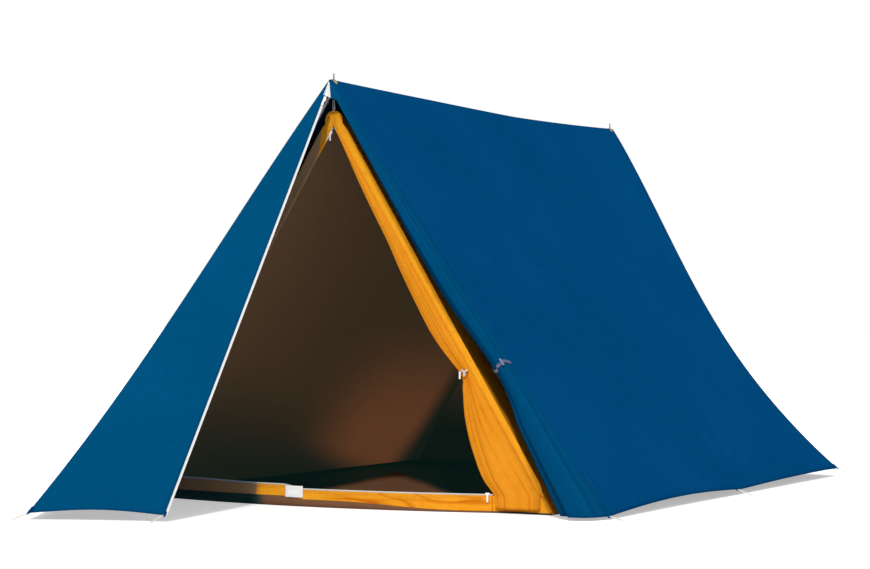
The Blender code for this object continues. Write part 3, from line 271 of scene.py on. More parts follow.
# %% Walls, doorway and sill
INNER_HEIGHT, INNER_HALF_WIDTH, INNER_SAG = 1.305, 0.810, 0.020
INNER_REAR_FOOT, INNER_REAR_TOP = 1.970, 1.900
DOOR_APEX, SILL_HEIGHT = 1.250, 0.055
STRIP_BOTTOM, STRIP_FOOT = SILL_HEIGHT + 0.0003, 0.018
SILL_BOW, SILL_BOW_LEFT, SILL_BOW_RIGHT = 0.110, -0.800, 0.640
BOW_RADIUS = (SILL_BOW_RIGHT - SILL_BOW_LEFT) ** 2 / (8 * SILL_BOW) + SILL_BOW / 2
BOW_X, BOW_Y = (SILL_BOW_LEFT + SILL_BOW_RIGHT) / 2, BOW_RADIUS - SILL_BOW


def wall_x(z):
    """Half width of the inner tent at a height."""
    return INNER_HALF_WIDTH * (1 - z / INNER_HEIGHT)


def door_edge_x(z):
    """Half width of the doorway at a height."""
    foot = wall_x(STRIP_BOTTOM) - STRIP_FOOT
    return foot * (DOOR_APEX - z) / (DOOR_APEX - STRIP_BOTTOM)


def front_edge_y(x):
    """The front of the floor and the sill: an arc, and straight under the gathered door."""
    if x <= SILL_BOW_LEFT or x >= SILL_BOW_RIGHT:
        return 0.0
    return BOW_Y - (BOW_RADIUS ** 2 - (x - BOW_X) ** 2) ** 0.5


def inner_rear_y(z):
    """The rear wall leans in a little towards its top."""
    return mix(INNER_REAR_FOOT, INNER_REAR_TOP, z / INNER_HEIGHT)


print(f"The doorway is {2 * door_edge_x(STRIP_BOTTOM):.3f} m wide at the sill")

# %% [markdown]
# ## Colours as numbers
# A colour picked on a screen is an sRGB colour from 0 to 255, while a shader takes linear light
# from 0 to 1. Typing linear values by hand is guesswork, so they are converted here.


# %% From sRGB to linear light
def linear(channel):
    """One sRGB channel, 0 to 255, as the linear value that a shader takes."""
    value = channel / 255
    return value / 12.92 if value <= 0.04045 else ((value + 0.055) / 1.055) ** 2.4


def rgb(colour):
    """An sRGB colour as a linear one."""
    return [linear(c) for c in colour] + [1]


print("Middle grey is", round(linear(128), 3), "in linear light")

# %% [markdown]
# ## A short way to write materials
# Every finish is a Principled shader with a small tree of nodes. In the editor, each node is
# placed and linked by hand. In a script that takes many lines, so this class gives each step
# one short call. Patterns read Object coordinates or the cloth's own UV map, never the camera,
# so they stay on the object in every view.


# %% The Look class
class Look:
    """A material, with short ways to add nodes to it."""

    def __init__(self, name, roughness=0.6, metallic=0.0, **sockets):
        self.material = bpy.data.materials.new(name)
        self.material.use_nodes = True
        self.tree = self.material.node_tree
        self.shader = self.tree.nodes["Principled BSDF"]
        self.shader.inputs["Roughness"].default_value = roughness
        self.shader.inputs["Metallic"].default_value = metallic
        for socket, value in sockets.items():
            self.shader.inputs[socket.replace("_", " ")].default_value = value
        self.place = self.add("ShaderNodeTexCoord").outputs["Object"]

    def add(self, kind, inputs=(), **settings):
        """A node with its settings, and its inputs linked or set in order or by name."""
        node = self.tree.nodes.new(kind)
        for name, value in settings.items():
            setattr(node, name, value)
        pairs = inputs.items() if isinstance(inputs, dict) else enumerate(inputs)
        for key, value in pairs:
            if isinstance(value, bpy.types.NodeSocket):
                self.tree.links.new(value, node.inputs[key])
            else:
                node.inputs[key].default_value = value
        return node

    def math(self, operation, *values):
        """One step of arithmetic."""
        return self.add("ShaderNodeMath", values, operation=operation).outputs[0]

    def times(self, first, second):
        """The product of two values."""
        return self.math("MULTIPLY", first, second)

    def split(self, vector=None):
        """The x, y and z of a vector, or of the place on the object."""
        return self.add("ShaderNodeSeparateXYZ", [vector or self.place]).outputs

    def span(self, value, low, high, to_low=0.0, to_high=1.0):
        """A value's range, mapped smoothly to another and kept inside it."""
        node = self.add("ShaderNodeMapRange", {"Value": value, "From Min": low, "From Max": high,
                                               "To Min": to_low, "To Max": to_high})
        node.interpolation_type = "SMOOTHSTEP"
        return node.outputs[0]

    def noise(self, scale, detail=3.0, place=None, roughness=0.5):
        """Smooth noise with this many cells in a metre."""
        return self.add("ShaderNodeTexNoise", {
            "Vector": place or self.place, "Scale": scale, "Detail": detail,
            "Roughness": roughness}).outputs[0]

    def mixed(self, first, second, share):
        """A mix of two colours."""
        node = self.add("ShaderNodeMix", data_type="RGBA")
        for socket, value in zip((node.inputs[0], node.inputs[6], node.inputs[7]),
                                 (share, first, second)):
            if isinstance(value, bpy.types.NodeSocket):
                self.tree.links.new(value, socket)
            else:
                socket.default_value = value
        return node.outputs[2]

    def bump(self, height, distance, strength=1.0, below=None):
        """A bump from a height, on top of the bump below it."""
        inputs = {"Height": height, "Distance": distance, "Strength": strength}
        if below:
            inputs["Normal"] = below
        return self.add("ShaderNodeBump", inputs).outputs[0]

    def finish(self, **sockets):
        """Links what the shader takes, and prints what was made."""
        for name, value in sockets.items():
            self.tree.links.new(value, self.shader.inputs[name.replace("_", " ")])
        print(f"finish {self.material.name}: {len(self.tree.nodes)} nodes")
        return self.material


# %% [markdown]
# ## Woven cloth
# Cotton shows its threads when close, slubs along the weft, and uneven dye and slight creasing
# from a few steps away. A photograph of cloth would repeat and has one size, so the weave is
# two sine waves that cross. The UV map is in metres, so the threads have their real size.

# %% Colour and surface of plain weave
WEFT_SLUBS = (14, 420, 1)   # streaks in a metre, along the threads and across them
DYE_CELLS, SOIL_CELLS, CREASE_CELLS = 2.3, 38.0, 9.0        # cells of noise in a metre
THREAD_SHADE, THREAD_DEPTH, CREASE_DEPTH = 0.14, 0.00012, 0.0020


def woven(look, colour, pale, deep, weave, cloud_depth, slub):
    """Colour and surface of plain weave."""
    uv = look.add("ShaderNodeUVMap", uv_map="cloth").outputs[0]
    u, v, _ = look.split(uv)
    warp = look.math("SINE", look.times(u, 2 * pi / weave))
    weft = look.math("SINE", look.times(v, 2 * pi / weave))
    threads = look.math("MULTIPLY_ADD", look.times(warp, weft), 0.5, 0.5)
    streaks = look.add("ShaderNodeMapping", {"Vector": uv, "Scale": WEFT_SLUBS}).outputs[0]
    slubs = look.span(look.noise(1.0, 2.0, streaks), 0.45, 0.80, 0.0, slub)
    cloud = look.span(look.noise(DYE_CELLS, 3.0), 0.35, 0.70, 0.0, cloud_depth)
    fine = look.span(look.noise(SOIL_CELLS, 4.0), 0.45, 0.75, 0.0, 0.22)
    tone = look.mixed(rgb(colour), rgb(pale), cloud)
    for share in (fine, slubs, look.times(threads, THREAD_SHADE)):
        tone = look.mixed(tone, rgb(deep), share)
    crease = look.noise(CREASE_CELLS, 5.0, roughness=0.62)
    normal = look.bump(crease, CREASE_DEPTH, 0.30)
    return u, v, tone, look.bump(threads, THREAD_DEPTH, 0.30, normal)


print(f"Clouds of dye are {1000 / DYE_CELLS:.0f} mm across, and creases {1000 / CREASE_CELLS:.0f}")


# %% [markdown]
# ## Hems and stitches
# A cut edge of cloth is folded over twice and sewn down, so a hem is thicker, a little darker,
# and has a row of stitches. Modelled stitches would be thousands of tiny meshes. A `hem` value
# on each point holds the distance from the nearest edge, and the material draws the rest.

# %% Doubled edge with its stitch line
HEM_WIDTH, HEM_STITCH, STITCH_LENGTH = 0.0115, 0.0085, 0.0042
HEM_SHADE, STITCH_SHOW, HEM_HEIGHT = 0.30, 0.7, 0.0006


def hemmed(look, u, v, tone, normal, deep, thread):
    """Adds the doubled edge and its stitches."""
    edge = look.add("ShaderNodeAttribute", attribute_name="hem").outputs["Fac"]
    doubled = look.span(edge, HEM_WIDTH, HEM_WIDTH - 0.001)
    off_line = look.math("ABSOLUTE", look.math("SUBTRACT", edge, HEM_STITCH))
    run = look.math("SINE", look.times(look.math("ADD", u, v), 2 * pi / STITCH_LENGTH))
    line = look.times(look.span(off_line, 0.0009, 0.0004), look.span(run, -0.7, -0.3))
    tone = look.mixed(tone, rgb(deep), look.times(doubled, HEM_SHADE))
    tone = look.mixed(tone, rgb(thread), look.times(line, STITCH_SHOW))
    raised = look.math("ADD", look.times(doubled, 0.6), line)
    return tone, look.bump(raised, HEM_HEIGHT, 0.7, normal)


print(f"A hem is {HEM_WIDTH * 1000:.1f} mm wide, with {0.1 / STITCH_LENGTH:.0f} stitches in 100 mm")


# %% [markdown]
# ## A cloth's whole finish
# All cloths of the tent are made alike, and differ in colour, weave and gloss. So one function
# joins weave and hems. A `fold` value on each point darkens the cloth with painted shade: in the
# bottoms of sharp folds, where little light comes, and round the painted highlights of the
# roll. Two options add a change of tone, mostly painted shade, and painted light from behind.


# %% Weave, hems, folds and glow together
def cloth_look(name, colour, pale, deep, roughness, weave=0.0011, thread=None, cloud=0.5,
               slub=0.18, recolour=None, glow=None, **sockets):
    """Woven cloth. recolour paints a change of tone, mostly shade; glow is painted light through
    it.
    """
    look = Look(name, roughness, **sockets)
    u, v, tone, normal = woven(look, colour, pale, deep, weave, cloud, slub)
    tone, normal = hemmed(look, u, v, tone, normal, deep, thread or pale)
    if recolour:
        tone = recolour(look, tone)
    fold = look.add("ShaderNodeAttribute", attribute_name="fold").outputs["Fac"]
    tone = look.mixed(tone, rgb(deep), fold)
    links = {"Base_Color": tone, "Normal": normal}
    if glow:
        links["Emission_Color"] = glow(look)
        look.shader.inputs["Emission Strength"].default_value = 1.0
    return look.finish(**links)


# %% [markdown]
# ## Blue flysheet
# The flysheet is matt proofed cotton. Even a weak gloss would mirror the white surroundings at
# a flat angle and turn the slope grey, so it has none. The porch halves are the same cloth, but
# they hang in the sun, so they take a copy of it that is a little greener: painted light. Each
# cloth has three tones: its own, a paler one and a deeper one.

# %% Cloths of the roof and the porch
FLY_BLUE, FLY_PALE, FLY_DEEP = (1, 67, 114), (3, 73, 123), (0, 54, 97)
# The porch halves' tones: the flysheet cloth made a little greener, as painted sunlight.
PORCH_SUNLIT_BLUE, PORCH_SUNLIT_PALE, PORCH_SUNLIT_DEEP = (1, 70, 108), (4, 77, 118), (0, 56, 98)
PROOFED = {"roughness": 0.80, "Specular_IOR_Level": 0.0}

BLUE = cloth_look("blue_fly", FLY_BLUE, FLY_PALE, FLY_DEEP, thread=(14, 90, 138), **PROOFED)
LIT_PORCH_CLOTH = cloth_look("sunlit_porch_cloth", PORCH_SUNLIT_BLUE, PORCH_SUNLIT_PALE, PORCH_SUNLIT_DEEP, thread=(14, 94, 134),
                        **PROOFED)

# %% [markdown]
# ## Orange inner tent
# The inner tent is thin, unproofed orange cotton. The strips and the sill at its front take a
# brighter copy of it, which is painted sunlight. A porch half keeps the sun off the left end of
# its front, where the cloth is painted brown, and the same painted shadow line crosses the
# sill. A shadow cast by the porch would be too weak under this bright sky, so the material
# draws the line.

# %% Cloths of the inner tent
TENT_ORANGE, ORANGE_PALE, ORANGE_DEEP = (224, 143, 32), (232, 152, 38), (196, 104, 14)
# The front's tones are the same cotton made brighter: painted sunlight on the strips and sill.
SUNLIT_ORANGE, SUNLIT_PALE = (243, 166, 36), (248, 174, 44)
SHADED_BROWN = (162, 131, 98)
SHADE_FOOT, SHADE_SLOPE = -0.238, 0.158    # the shade line's x at the floor, and x for each z
SHADE_SOFTNESS, SILL_SEAM_X = 0.007, 0.598
COTTON = {"roughness": 0.85, "weave": 0.0009, "thread": (240, 176, 80),
          "Specular_IOR_Level": 0.0}


def shade_line(look, tone):
    """Brown to the left of the shade line, and one dark seam at the end of the sill."""
    x, _, z = look.split()
    line = look.math("MULTIPLY_ADD", z, SHADE_SLOPE, SHADE_FOOT)
    beyond = look.math("SUBTRACT", x, line)
    shaded = look.span(beyond, 0.0, -SHADE_SOFTNESS)
    tone = look.mixed(tone, rgb(SHADED_BROWN), shaded)
    off_seam = look.math("ABSOLUTE", look.math("SUBTRACT", x, SILL_SEAM_X))
    seam = look.times(look.span(off_seam, 0.0022, 0.0010), look.span(z, 0.062, 0.058))
    return look.mixed(tone, rgb(ORANGE_DEEP), seam)


ORANGE = cloth_look("orange_inner", TENT_ORANGE, ORANGE_PALE, ORANGE_DEEP, **COTTON)
SUNLIT_FRONT_COTTON = cloth_look("orange_front_sunlit_copy", SUNLIT_ORANGE, SUNLIT_PALE, ORANGE_DEEP,
                          recolour=shade_line, **COTTON)

# %% [markdown]
# ## Inner face in painted shade
# Seen from inside, the thin orange walls look brown, because daylight comes through the blue
# flysheet and the orange cotton and loses most of its colour. So their inner face is painted
# brown, as painted shade, though the cotton is orange through. A real path through two cloths
# is slow and noisy to render, so a weak glow in the inner face stands for it, as painted light.
# It is strongest low on the walls towards the rear, where the sun falls through, and fades to
# near black at the floor and into the low rear corner.

# %% Inner face: painted shade and painted light
GLOW_DARK, GLOW_PLAIN = (0.005, 0.011, 0.008), (0.026, 0.018, 0.010)
GLOW_WARM = (0.096, 0.037, 0.016)
GLOW_FOOT = (0.22, -0.34)   # how the foot of the light comes down towards the rear
GLOW_RISE, WARM_RISE = (-0.14, 0.20), (-0.06, 0.06)     # heights above that foot
WARM_BACK, WARM_LOW = (0.75, 1.40), (0.66, 0.16)        # y and z over which the warmth comes in
CORNER_LEAN, CORNER_DARK, REAR_RISE = 0.20, (1.66, 1.90), (0.12, 0.50)
REAR_DARK, REAR_PLAIN = (0.003, 0.0085, 0.007), (0.036, 0.023, 0.012)


def wall_glow(look):
    """Light through a side wall: dark along the floor at the front, warm towards the rear."""
    _, y, z = look.split()
    above = look.math("ADD", look.math("MULTIPLY_ADD", y, *GLOW_FOOT), z)
    tone = look.mixed((*GLOW_DARK, 1), (*GLOW_PLAIN, 1), look.span(above, *GLOW_RISE))
    warm = look.times(look.span(y, *WARM_BACK), look.span(z, *WARM_LOW))
    warm = look.times(warm, look.span(above, *WARM_RISE))
    tone = look.mixed(tone, (*GLOW_WARM, 1), warm)
    to_corner = look.math("SUBTRACT", y, look.times(z, CORNER_LEAN))
    return look.mixed(tone, (*GLOW_DARK, 1), look.span(to_corner, *CORNER_DARK))


def rear_glow(look):
    """Light through the rear wall, which the flysheet's rear end shades."""
    z = look.split()[2]
    return look.mixed((*REAR_DARK, 1), (*REAR_PLAIN, 1), look.span(z, *REAR_RISE))


# The inner faces: brown and dark painted shade, with a painted glow of light through the cloth.
SHADE = cloth_look("inner_face_painted_shade", (96, 70, 50), (102, 75, 53), (74, 52, 36), 0.92,
                   weave=0.0009, glow=wall_glow, Specular_IOR_Level=0.04)
DARK_SHADE = cloth_look("inner_face_painted_shade_rear", (40, 42, 34), (46, 47, 38), (24, 28, 24), 0.92,
                        weave=0.0009, glow=rear_glow, Specular_IOR_Level=0.04)

# %% [markdown]
# ## Floor sheet
# The floor is coated cloth, so it has a slight gloss. The sun falls in at the door on a patch of
# it, and the rest is painted dark green-brown, as painted shade. Lamps could draw the patch, but
# the sun that lights the slopes can't shine under the porch too, so the patch and the shade
# round it are part of the material.

# %% Coated floor with the sun patch
# Painted shade of the floor outside the sun patch.
FLOOR_PAINTED_SHADE = (30, 56, 50)
FLOOR_GLOW, FLOOR_GLOW_REAR = (0.0, 0.0015, 0.003), (0.001, 0.0070, 0.0056)
GLOW_BACK = (0.2, 1.1)      # y over which the floor's trace of light changes
SUN_PATCH_LEFT, SUN_PATCH_RIGHT = (-0.235, -0.235), (-0.85, 0.62)   # x for each y, and x at y 0


def sun_patch(look):
    """1 where the sun falls in at the door, and 0 round it."""
    x, y, _ = look.split()
    left = look.math("SUBTRACT", x, look.math("MULTIPLY_ADD", y, *SUN_PATCH_LEFT))
    right = look.math("SUBTRACT", look.math("MULTIPLY_ADD", y, *SUN_PATCH_RIGHT), x)
    return look.times(look.span(left, -0.03, 0.03), look.span(right, -0.03, 0.05))


def painted_patch_and_shade(look, tone):
    """Painted light and shade: brown in the sun patch, and dark green-brown painted shade round it.
    """
    return look.mixed(rgb(FLOOR_PAINTED_SHADE), tone, sun_patch(look))


def floor_glow(look):
    """A trace of the walls' light outside the sun patch, most of it towards the rear."""
    to_rear = look.span(look.split()[1], *GLOW_BACK)
    trace = look.mixed((*FLOOR_GLOW, 1), (*FLOOR_GLOW_REAR, 1), to_rear)
    return look.mixed(trace, (0, 0, 0, 1), sun_patch(look))


FLOOR_PVC = cloth_look("groundsheet", (116, 80, 57), (124, 87, 62), (84, 58, 42), 0.70,
                       weave=0.0016, recolour=painted_patch_and_shade, glow=floor_glow,
                       Specular_IOR_Level=0.05)

# %% [markdown]
# ## Tapes, webbing and tag
# Zip tape and strap webbing are narrow weaves with thicker threads, and the tag is satin. The
# same cloth finish makes them all, with another thread size and a little gloss.

# %% Tape, webbing and satin
TAPE = cloth_look("zip_tape", (222, 222, 220), (236, 236, 234), (172, 174, 176), 0.75,
                  weave=0.0012, Specular_IOR_Level=0.15)
WEBBING = cloth_look("grey_webbing", (104, 104, 136), (120, 120, 150), (66, 66, 92), 0.80,
                     weave=0.0022, Specular_IOR_Level=0.12)
LABEL = cloth_look("blank_label", (248, 248, 246), (252, 252, 250), (226, 226, 224), 0.65,
                   weave=0.0006, thread=(230, 230, 228), cloud=0.2, Specular_IOR_Level=0.2)

# %% [markdown]
# ## Steel of the poles
# The poles are zinc-plated tube, drawn through a die, so they have fine lines along them, and
# their joints scuff them. A plain grey metal would look like chrome. Noise that is stretched
# along the tube gives the lines, and a finer noise the scuffs.


# %% Zinc-plated tube
def tube_look(name, colour, deep, roughness):
    """Zinc-plated tube: fine lines along it, scuffs and a little dulling."""
    look = Look(name, roughness, 0.9)
    lines = look.add("ShaderNodeMapping", {"Vector": look.place,
                                           "Scale": (900, 900, 12)}).outputs[0]
    drawn = look.noise(1.0, 2.0, lines)
    scuffs = look.noise(55.0, 6.0, roughness=0.7)
    tone = look.mixed(rgb(colour), rgb(deep), look.span(scuffs, 0.5, 0.75, 0.0, 0.6))
    tone = look.mixed(tone, rgb(deep), look.span(drawn, 0.4, 0.8, 0.0, 0.25))
    rough = look.span(scuffs, 0.3, 0.8, roughness - 0.05, roughness + 0.2)
    return look.finish(Base_Color=tone, Normal=look.bump(drawn, 0.00005, 0.4), Roughness=rough)


# The grey is kept dull and dark, which paints in the shade that the legs stand in under the
# flysheet.
STEEL = tube_look("pole_steel", (140, 142, 146), (84, 86, 90), 0.40)

# %% [markdown]
# ## Brass, plastic and rubber
# Eyelets are brass, sliders, pulls and toggles are moulded plastic, and the poles stand on
# rubber feet. One even colour would look like paint, so each gets a slight cloud in its tone
# and gloss and a fine grain. They differ in grain size and in how much it shows.


# %% Small moulded and stamped parts
def plain_look(name, colour, deep, roughness, scale=60.0, depth=0.0002, spread=0.25, **sockets):
    """Moulded or metal parts: slight unevenness in tone, gloss and surface."""
    look = Look(name, roughness, **sockets)
    grain, cloud = look.noise(scale, 4.0), look.noise(scale / 8, 2.0)
    tone = look.mixed(rgb(colour), rgb(deep), look.span(cloud, 0.35, 0.75, 0.0, spread))
    tone = look.mixed(tone, rgb(deep), look.span(grain, 0.55, 0.80, 0.0, spread))
    rough = look.span(grain, 0.2, 0.8, roughness - 0.06, min(roughness + 0.08, 1.0))
    return look.finish(Base_Color=tone, Normal=look.bump(grain, depth, 0.4), Roughness=rough)


BRASS = plain_look("brass", (190, 164, 100), (128, 100, 54), 0.34, 180.0, Metallic=0.9)
PLASTIC = plain_look("white_plastic", (240, 239, 235), (202, 200, 195), 0.38, 240.0, 0.0001)
MAUVE_PLASTIC = plain_look("grey_plastic", (116, 114, 142), (84, 82, 108), 0.45, 240.0, 0.0001)
RUBBER = plain_look("black_rubber", (30, 30, 32), (52, 50, 48), 0.82, 220.0, 0.0003, 0.5)

# %% [markdown]
# ## Braided cord
# The loops, hanger cords and tie are thin braided cord. Its strands could be modelled, but at
# three millimetres nobody would see them. Two crossed sets of small ribs in the material do
# the same. The cord is darker between the ribs, which is painted shade, and a little soil is
# spread over it.


# %% Cord with crossed ribs
def braid_look(name, colour, deep, roughness, pitch):
    """Braided cord: two crossed sets of small ribs, painted shade between them, and a little soil.
    """
    look = Look(name, roughness)
    x, y, z = look.split()
    flat = look.math("ADD", x, y)
    ribs = [look.math("SINE", look.times(look.math(way, flat, z), 2 * pi / pitch))
            for way in ("ADD", "SUBTRACT")]
    crossed = look.math("MAXIMUM", *ribs)
    # Darker between the ribs: painted shade.
    tone = look.mixed(rgb(colour), rgb(deep), look.span(crossed, 0.6, -0.4, 0.0, 0.45))
    tone = look.mixed(tone, rgb(deep), look.span(look.noise(90.0, 4.0), 0.5, 0.8, 0.0, 0.5))
    return look.finish(Base_Color=tone, Normal=look.bump(crossed, pitch / 6, 0.5))


ELASTIC = braid_look("pale_elastic", (228, 226, 218), (170, 166, 158), 0.75, 0.0022)

# %% [markdown]
# ## Pieces in the frame
# Each new piece stays at the origin and has its place in its mesh, as the CAD's nodes do. It
# rides on one of the tent's moving bodies and has a slot for its finish. These lines would be
# the same for every piece, so two functions hold them.


# %% Make a piece from data or from a bmesh
def new_object(name, data, materials, body):
    """A piece in the frame's own place, on its body and with its finish."""
    for material in materials:
        data.materials.append(material)
    obj = bpy.data.objects.new(name, data)
    scene.collection.objects.link(obj)
    if body:
        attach(obj, body)
    return obj


def mesh_object(name, bm, materials, body, smooth=True):
    """A piece from a bmesh."""
    mesh = bpy.data.meshes.new(name)
    bm.to_mesh(mesh)
    bm.free()
    if smooth:
        mesh.shade_smooth()
    return new_object(name, mesh, materials, body)


print(len(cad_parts), "nodes of the CAD model wait for their looks")

# %% [markdown]
# ## Measuring laid cloth
# The weave and the hems need to know where on the flat cloth a point lies. Unwrapping by hand
# would do that, but the grid's own rows and columns already run along the threads. The lengths
# along them give the UV map in metres and the distance from each hem.


# %% UV map and distance from the hems
def running_lengths(lines):
    """For each point of each line, how far along it lies and how long its line is."""
    found = {}
    for line in lines:
        total, steps = 0.0, [0.0]
        for before, after in zip(line, line[1:]):
            total += (after.co - before.co).length
            steps.append(total)
        for vert, step in zip(line, steps):
            found[vert] = (step, total)
    return found


def measure_cloth(bm, shares, hems, hem_layer, uv_layer):
    """Writes the UV map in metres and the distance from the nearest hem."""
    order = sorted(bm.verts, key=lambda vert: (round(shares[vert][1], 5), shares[vert][0]))
    wide = len({round(u, 5) for u, _ in shares.values()})
    rows = [order[i:i + wide] for i in range(0, len(order), wide)]
    across, along = running_lengths(rows), running_lengths(zip(*rows))
    for vert in bm.verts:
        (left, width), (bottom, length) = across[vert], along[vert]
        edges = {"l": left, "r": width - left, "b": bottom, "t": length - bottom}
        vert[hem_layer] = min([0.5] + [edges[edge] for edge in hems])
    for face in bm.faces:
        for loop in face.loops:
            left, width = across[loop.vert]
            loop[uv_layer].uv = (left - width / 2, along[loop.vert][0])


# %% [markdown]
# ## Laying cloth
# A sheet starts as a flat grid, and a function lays each of its points in place from two
# shares, u across and v along. Folds then move the points along the cloth's own normals. A
# cloth simulation would sag between the seams and come out otherwise each time it is changed,
# and this way every edge lies on its line.


# %% Lay a grid and crease it
def lay_cloth(place, columns, rows, outward, crease=None, fold=None, hems=""):
    """A bmesh of laid cloth and the area that it was cut to."""
    bm = bmesh.new()
    hem_layer, fold_layer = (bm.verts.layers.float.new(name) for name in ("hem", "fold"))
    uv_layer = bm.loops.layers.uv.new("cloth")
    bmesh.ops.create_grid(bm, x_segments=columns, y_segments=rows, size=0.5)
    shares = {vert: (vert.co.x + 0.5, vert.co.y + 0.5) for vert in bm.verts}
    for vert, (u, v) in shares.items():
        vert.co = place(u, v)
    bm.normal_update()
    facing = sum(face.normal.dot(outward(face.calc_center_median())) * face.calc_area()
                 for face in bm.faces)
    if facing < 0:
        bmesh.ops.reverse_faces(bm, faces=bm.faces)
        bm.normal_update()
    area = sum(face.calc_area() for face in bm.faces)
    measure_cloth(bm, shares, hems, hem_layer, uv_layer)
    if fold:
        for vert, (u, v) in shares.items():
            vert[fold_layer] = fold(u, v)
    if crease:
        for vert, (u, v) in shares.items():
            vert.co += vert.normal * crease(u, v, vert.co)
        bm.normal_update()
    return bm, area


# %% [markdown]
# ## Thin walls
# Real cloth has two faces and a visible edge. A plain sheet has neither: seen edge on, it
# disappears. Giving every face a twin by hand would double the work of any change, so a
# Solidify modifier makes the wall, and can give its inner face another material.


def cloth(name, place, columns, rows, thickness, materials, outward, body="root",
          slot="blue_fly_cloth", **options):
    """A piece of cloth. Its second material, where it has two, is its inner face in painted shade.
    """
    way = outward if callable(outward) else lambda point: outward
    bm, area = lay_cloth(place, columns, rows, way, **options)
    obj = mesh_object(name, bm, materials, body)
    wall = obj.modifiers.new("wall", "SOLIDIFY")
    wall.thickness = thickness
    wall.offset = 0.0
    wall.material_offset = len(materials) - 1
    print(f"{name}: {columns} by {rows} faces, {area:.3f} square metres")
    return obj


# %% [markdown]
# ## Folds
# Tension folds run out from a peg like the spokes of a fan and die away. Slack cloth has long
# soft swells. A Displace modifier could make the swells, but not the fans, so both are
# functions of the place. They are only a few millimetres deep, and light shows them.


# %% Swells and fans of folds
def swell(point, size, seed=0.0):
    """Smooth noise between -1 and 1 with cells of this size."""
    return noise.noise(Vector(point) / size + Vector((seed, 2 * seed, -seed)))


def rays(point, peg, across, down, count, reach, depth, phase=0.0):
    """Folds that run out from a peg point, like the spokes of a fan."""
    way = point - peg
    x, y = way.dot(across), way.dot(down)
    far = hypot(x, y)
    if far < 1e-6:
        return 0.0
    fade = far / reach * exp(1 - far / reach) * exp(-(far / (3 * reach)) ** 2)
    return depth * fade * sin(count * atan2(x, -y) + phase)


print(f"A swell at the ridge's tip is {swell(RIDGE_TIP, 0.3):.2f} deep")

# %% [markdown]
# ## Roof of the flysheet
# On the real tent two slopes are sewn together along the ridge. Here one sheet runs from the
# left hem over the ridge to the right hem, so the ridge can't gape. It is tight, so its folds
# are shallow: fans at the pegs and at the two poles, and a slight hollow between them.

# %% Lay the roof
FLY_CLOTH = 0.0007
HEM_FANS = ((HEM_FRONT, 9, 0.0016, 0.6), (MIDDLE_PEG, 12, 0.0024, 0.0),
            (HEM_REAR, 12, 0.0040, 1.1))        # y of a peg, count of folds, depth and start
POLE_FANS = ((0.0, 0.0014), (POLE_SPACING, 0.0030))     # y of a pole and depth of its folds
ROOF_HOLLOW, ROOF_SLACK = 0.006, 0.0028


def roof_place(u, v):
    """The roof, from the left hem over the ridge to the right hem."""
    return roof_point(1 if u >= 0.5 else -1, abs(2 * u - 1), v)


def roof_crease(u, v, point):
    """Tension folds at the pegs and the poles, and a little slack between them."""
    side = 1 if u >= 0.5 else -1
    across = abs(2 * u - 1)
    down = Vector((side * FLY_HALF_WIDTH, 0, -RIDGE_HEIGHT)).normalized()
    inside = ease(across, 0.0, 0.15) * ease(across, 1.0, 0.85)
    edge = min(across * 6, 1) * ease(v, 1.0, 0.93)
    fold = 0.0
    for y, count, depth, phase in HEM_FANS:
        peg = Vector((side * FLY_HALF_WIDTH, y, hem_z(y)))
        fold += rays(point, peg, BACK, down, count, 0.16, depth, phase)
    for y, depth in POLE_FANS:
        fold += rays(point, Vector((0, y, RIDGE_HEIGHT)), BACK, -down, 10, 0.20, depth, 0.4)
    hollow = -ROOF_HOLLOW * sin(pi * across) * sin(pi * v)
    drift = ROOF_SLACK * swell((point.x * 0.6, point.y, point.z * 0.6), 0.45, 3.1 * side)
    return (fold + (hollow + drift) * inside) * edge


def roof_out(point):
    """Out and up from a slope."""
    return Vector((point.x * 2, 0, 0.6))


roof = cloth("fly_roof", roof_place, 180, 120, FLY_CLOTH, [BLUE], roof_out,
             crease=roof_crease, hems="lrbt")
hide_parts("fly_slope_left", "fly_slope_right")

# %% [markdown]
# ## Rear end of the flysheet
# Two panels close the rear, from the cut-in edge of the roof to a seam behind the rear pole.
# They could be two pieces, but nothing moves there, so they are laid as one sheet that bends at
# the seam, and the seam stays closed.

# %% Lay the rear end
REAR_SLACK, SEAM_DIP = 0.004, 0.002


def rear_place(u, v):
    """The rear end, from the left edge of the roof by the centre seam to the right edge."""
    side = 1 if u >= 0.5 else -1
    inward = 1 - abs(2 * u - 1)
    down = max(v, 0.006)
    edge, centre = roof_point(side, down, 1), rear_centre(down)
    lift = Vector((0, 0, HEM_LIFT_END * sin(pi * inward) * down ** 8))
    return mix(edge, centre, inward) + lift


def rear_crease(u, v, point):
    """Tension folds of the rear end, from its three pegs."""
    inward = 1 - abs(2 * u - 1)
    side = 1 if u >= 0.5 else -1
    inside = min(inward * 5, 1) * min(v * 4, 1)
    corner = Vector((side * FLY_HALF_WIDTH, HEM_REAR, HEM_AT_REAR))
    fold = rays(point, corner, SIDEWAYS, UP, 9, 0.18, 0.0035, 0.8)
    fold += rays(point, rear_centre(1), SIDEWAYS, UP, 12, 0.20, 0.0035, 0.2)
    fold += REAR_SLACK * swell((point.x, point.y, point.z * 0.5), 0.30, 5.3)
    return fold * inside - SEAM_DIP * band(inward, 1.0, 0.02)


rear_end = cloth("fly_rear_end", rear_place, 90, 80, FLY_CLOTH, [BLUE], BACK,
                 crease=rear_crease, hems="lrt")
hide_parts("fly_rear_left", "fly_rear_right")

# %% [markdown]
# ## Left porch half
# It is one cloth: a side from the roof seam to the fold, and a leaf from the fold to the zip.
# Two sheets would be easier to lay, but they would part at the fold when the leaf opens. So the
# grid runs over the fold, and its columns are close together there, where the cloth will bend.

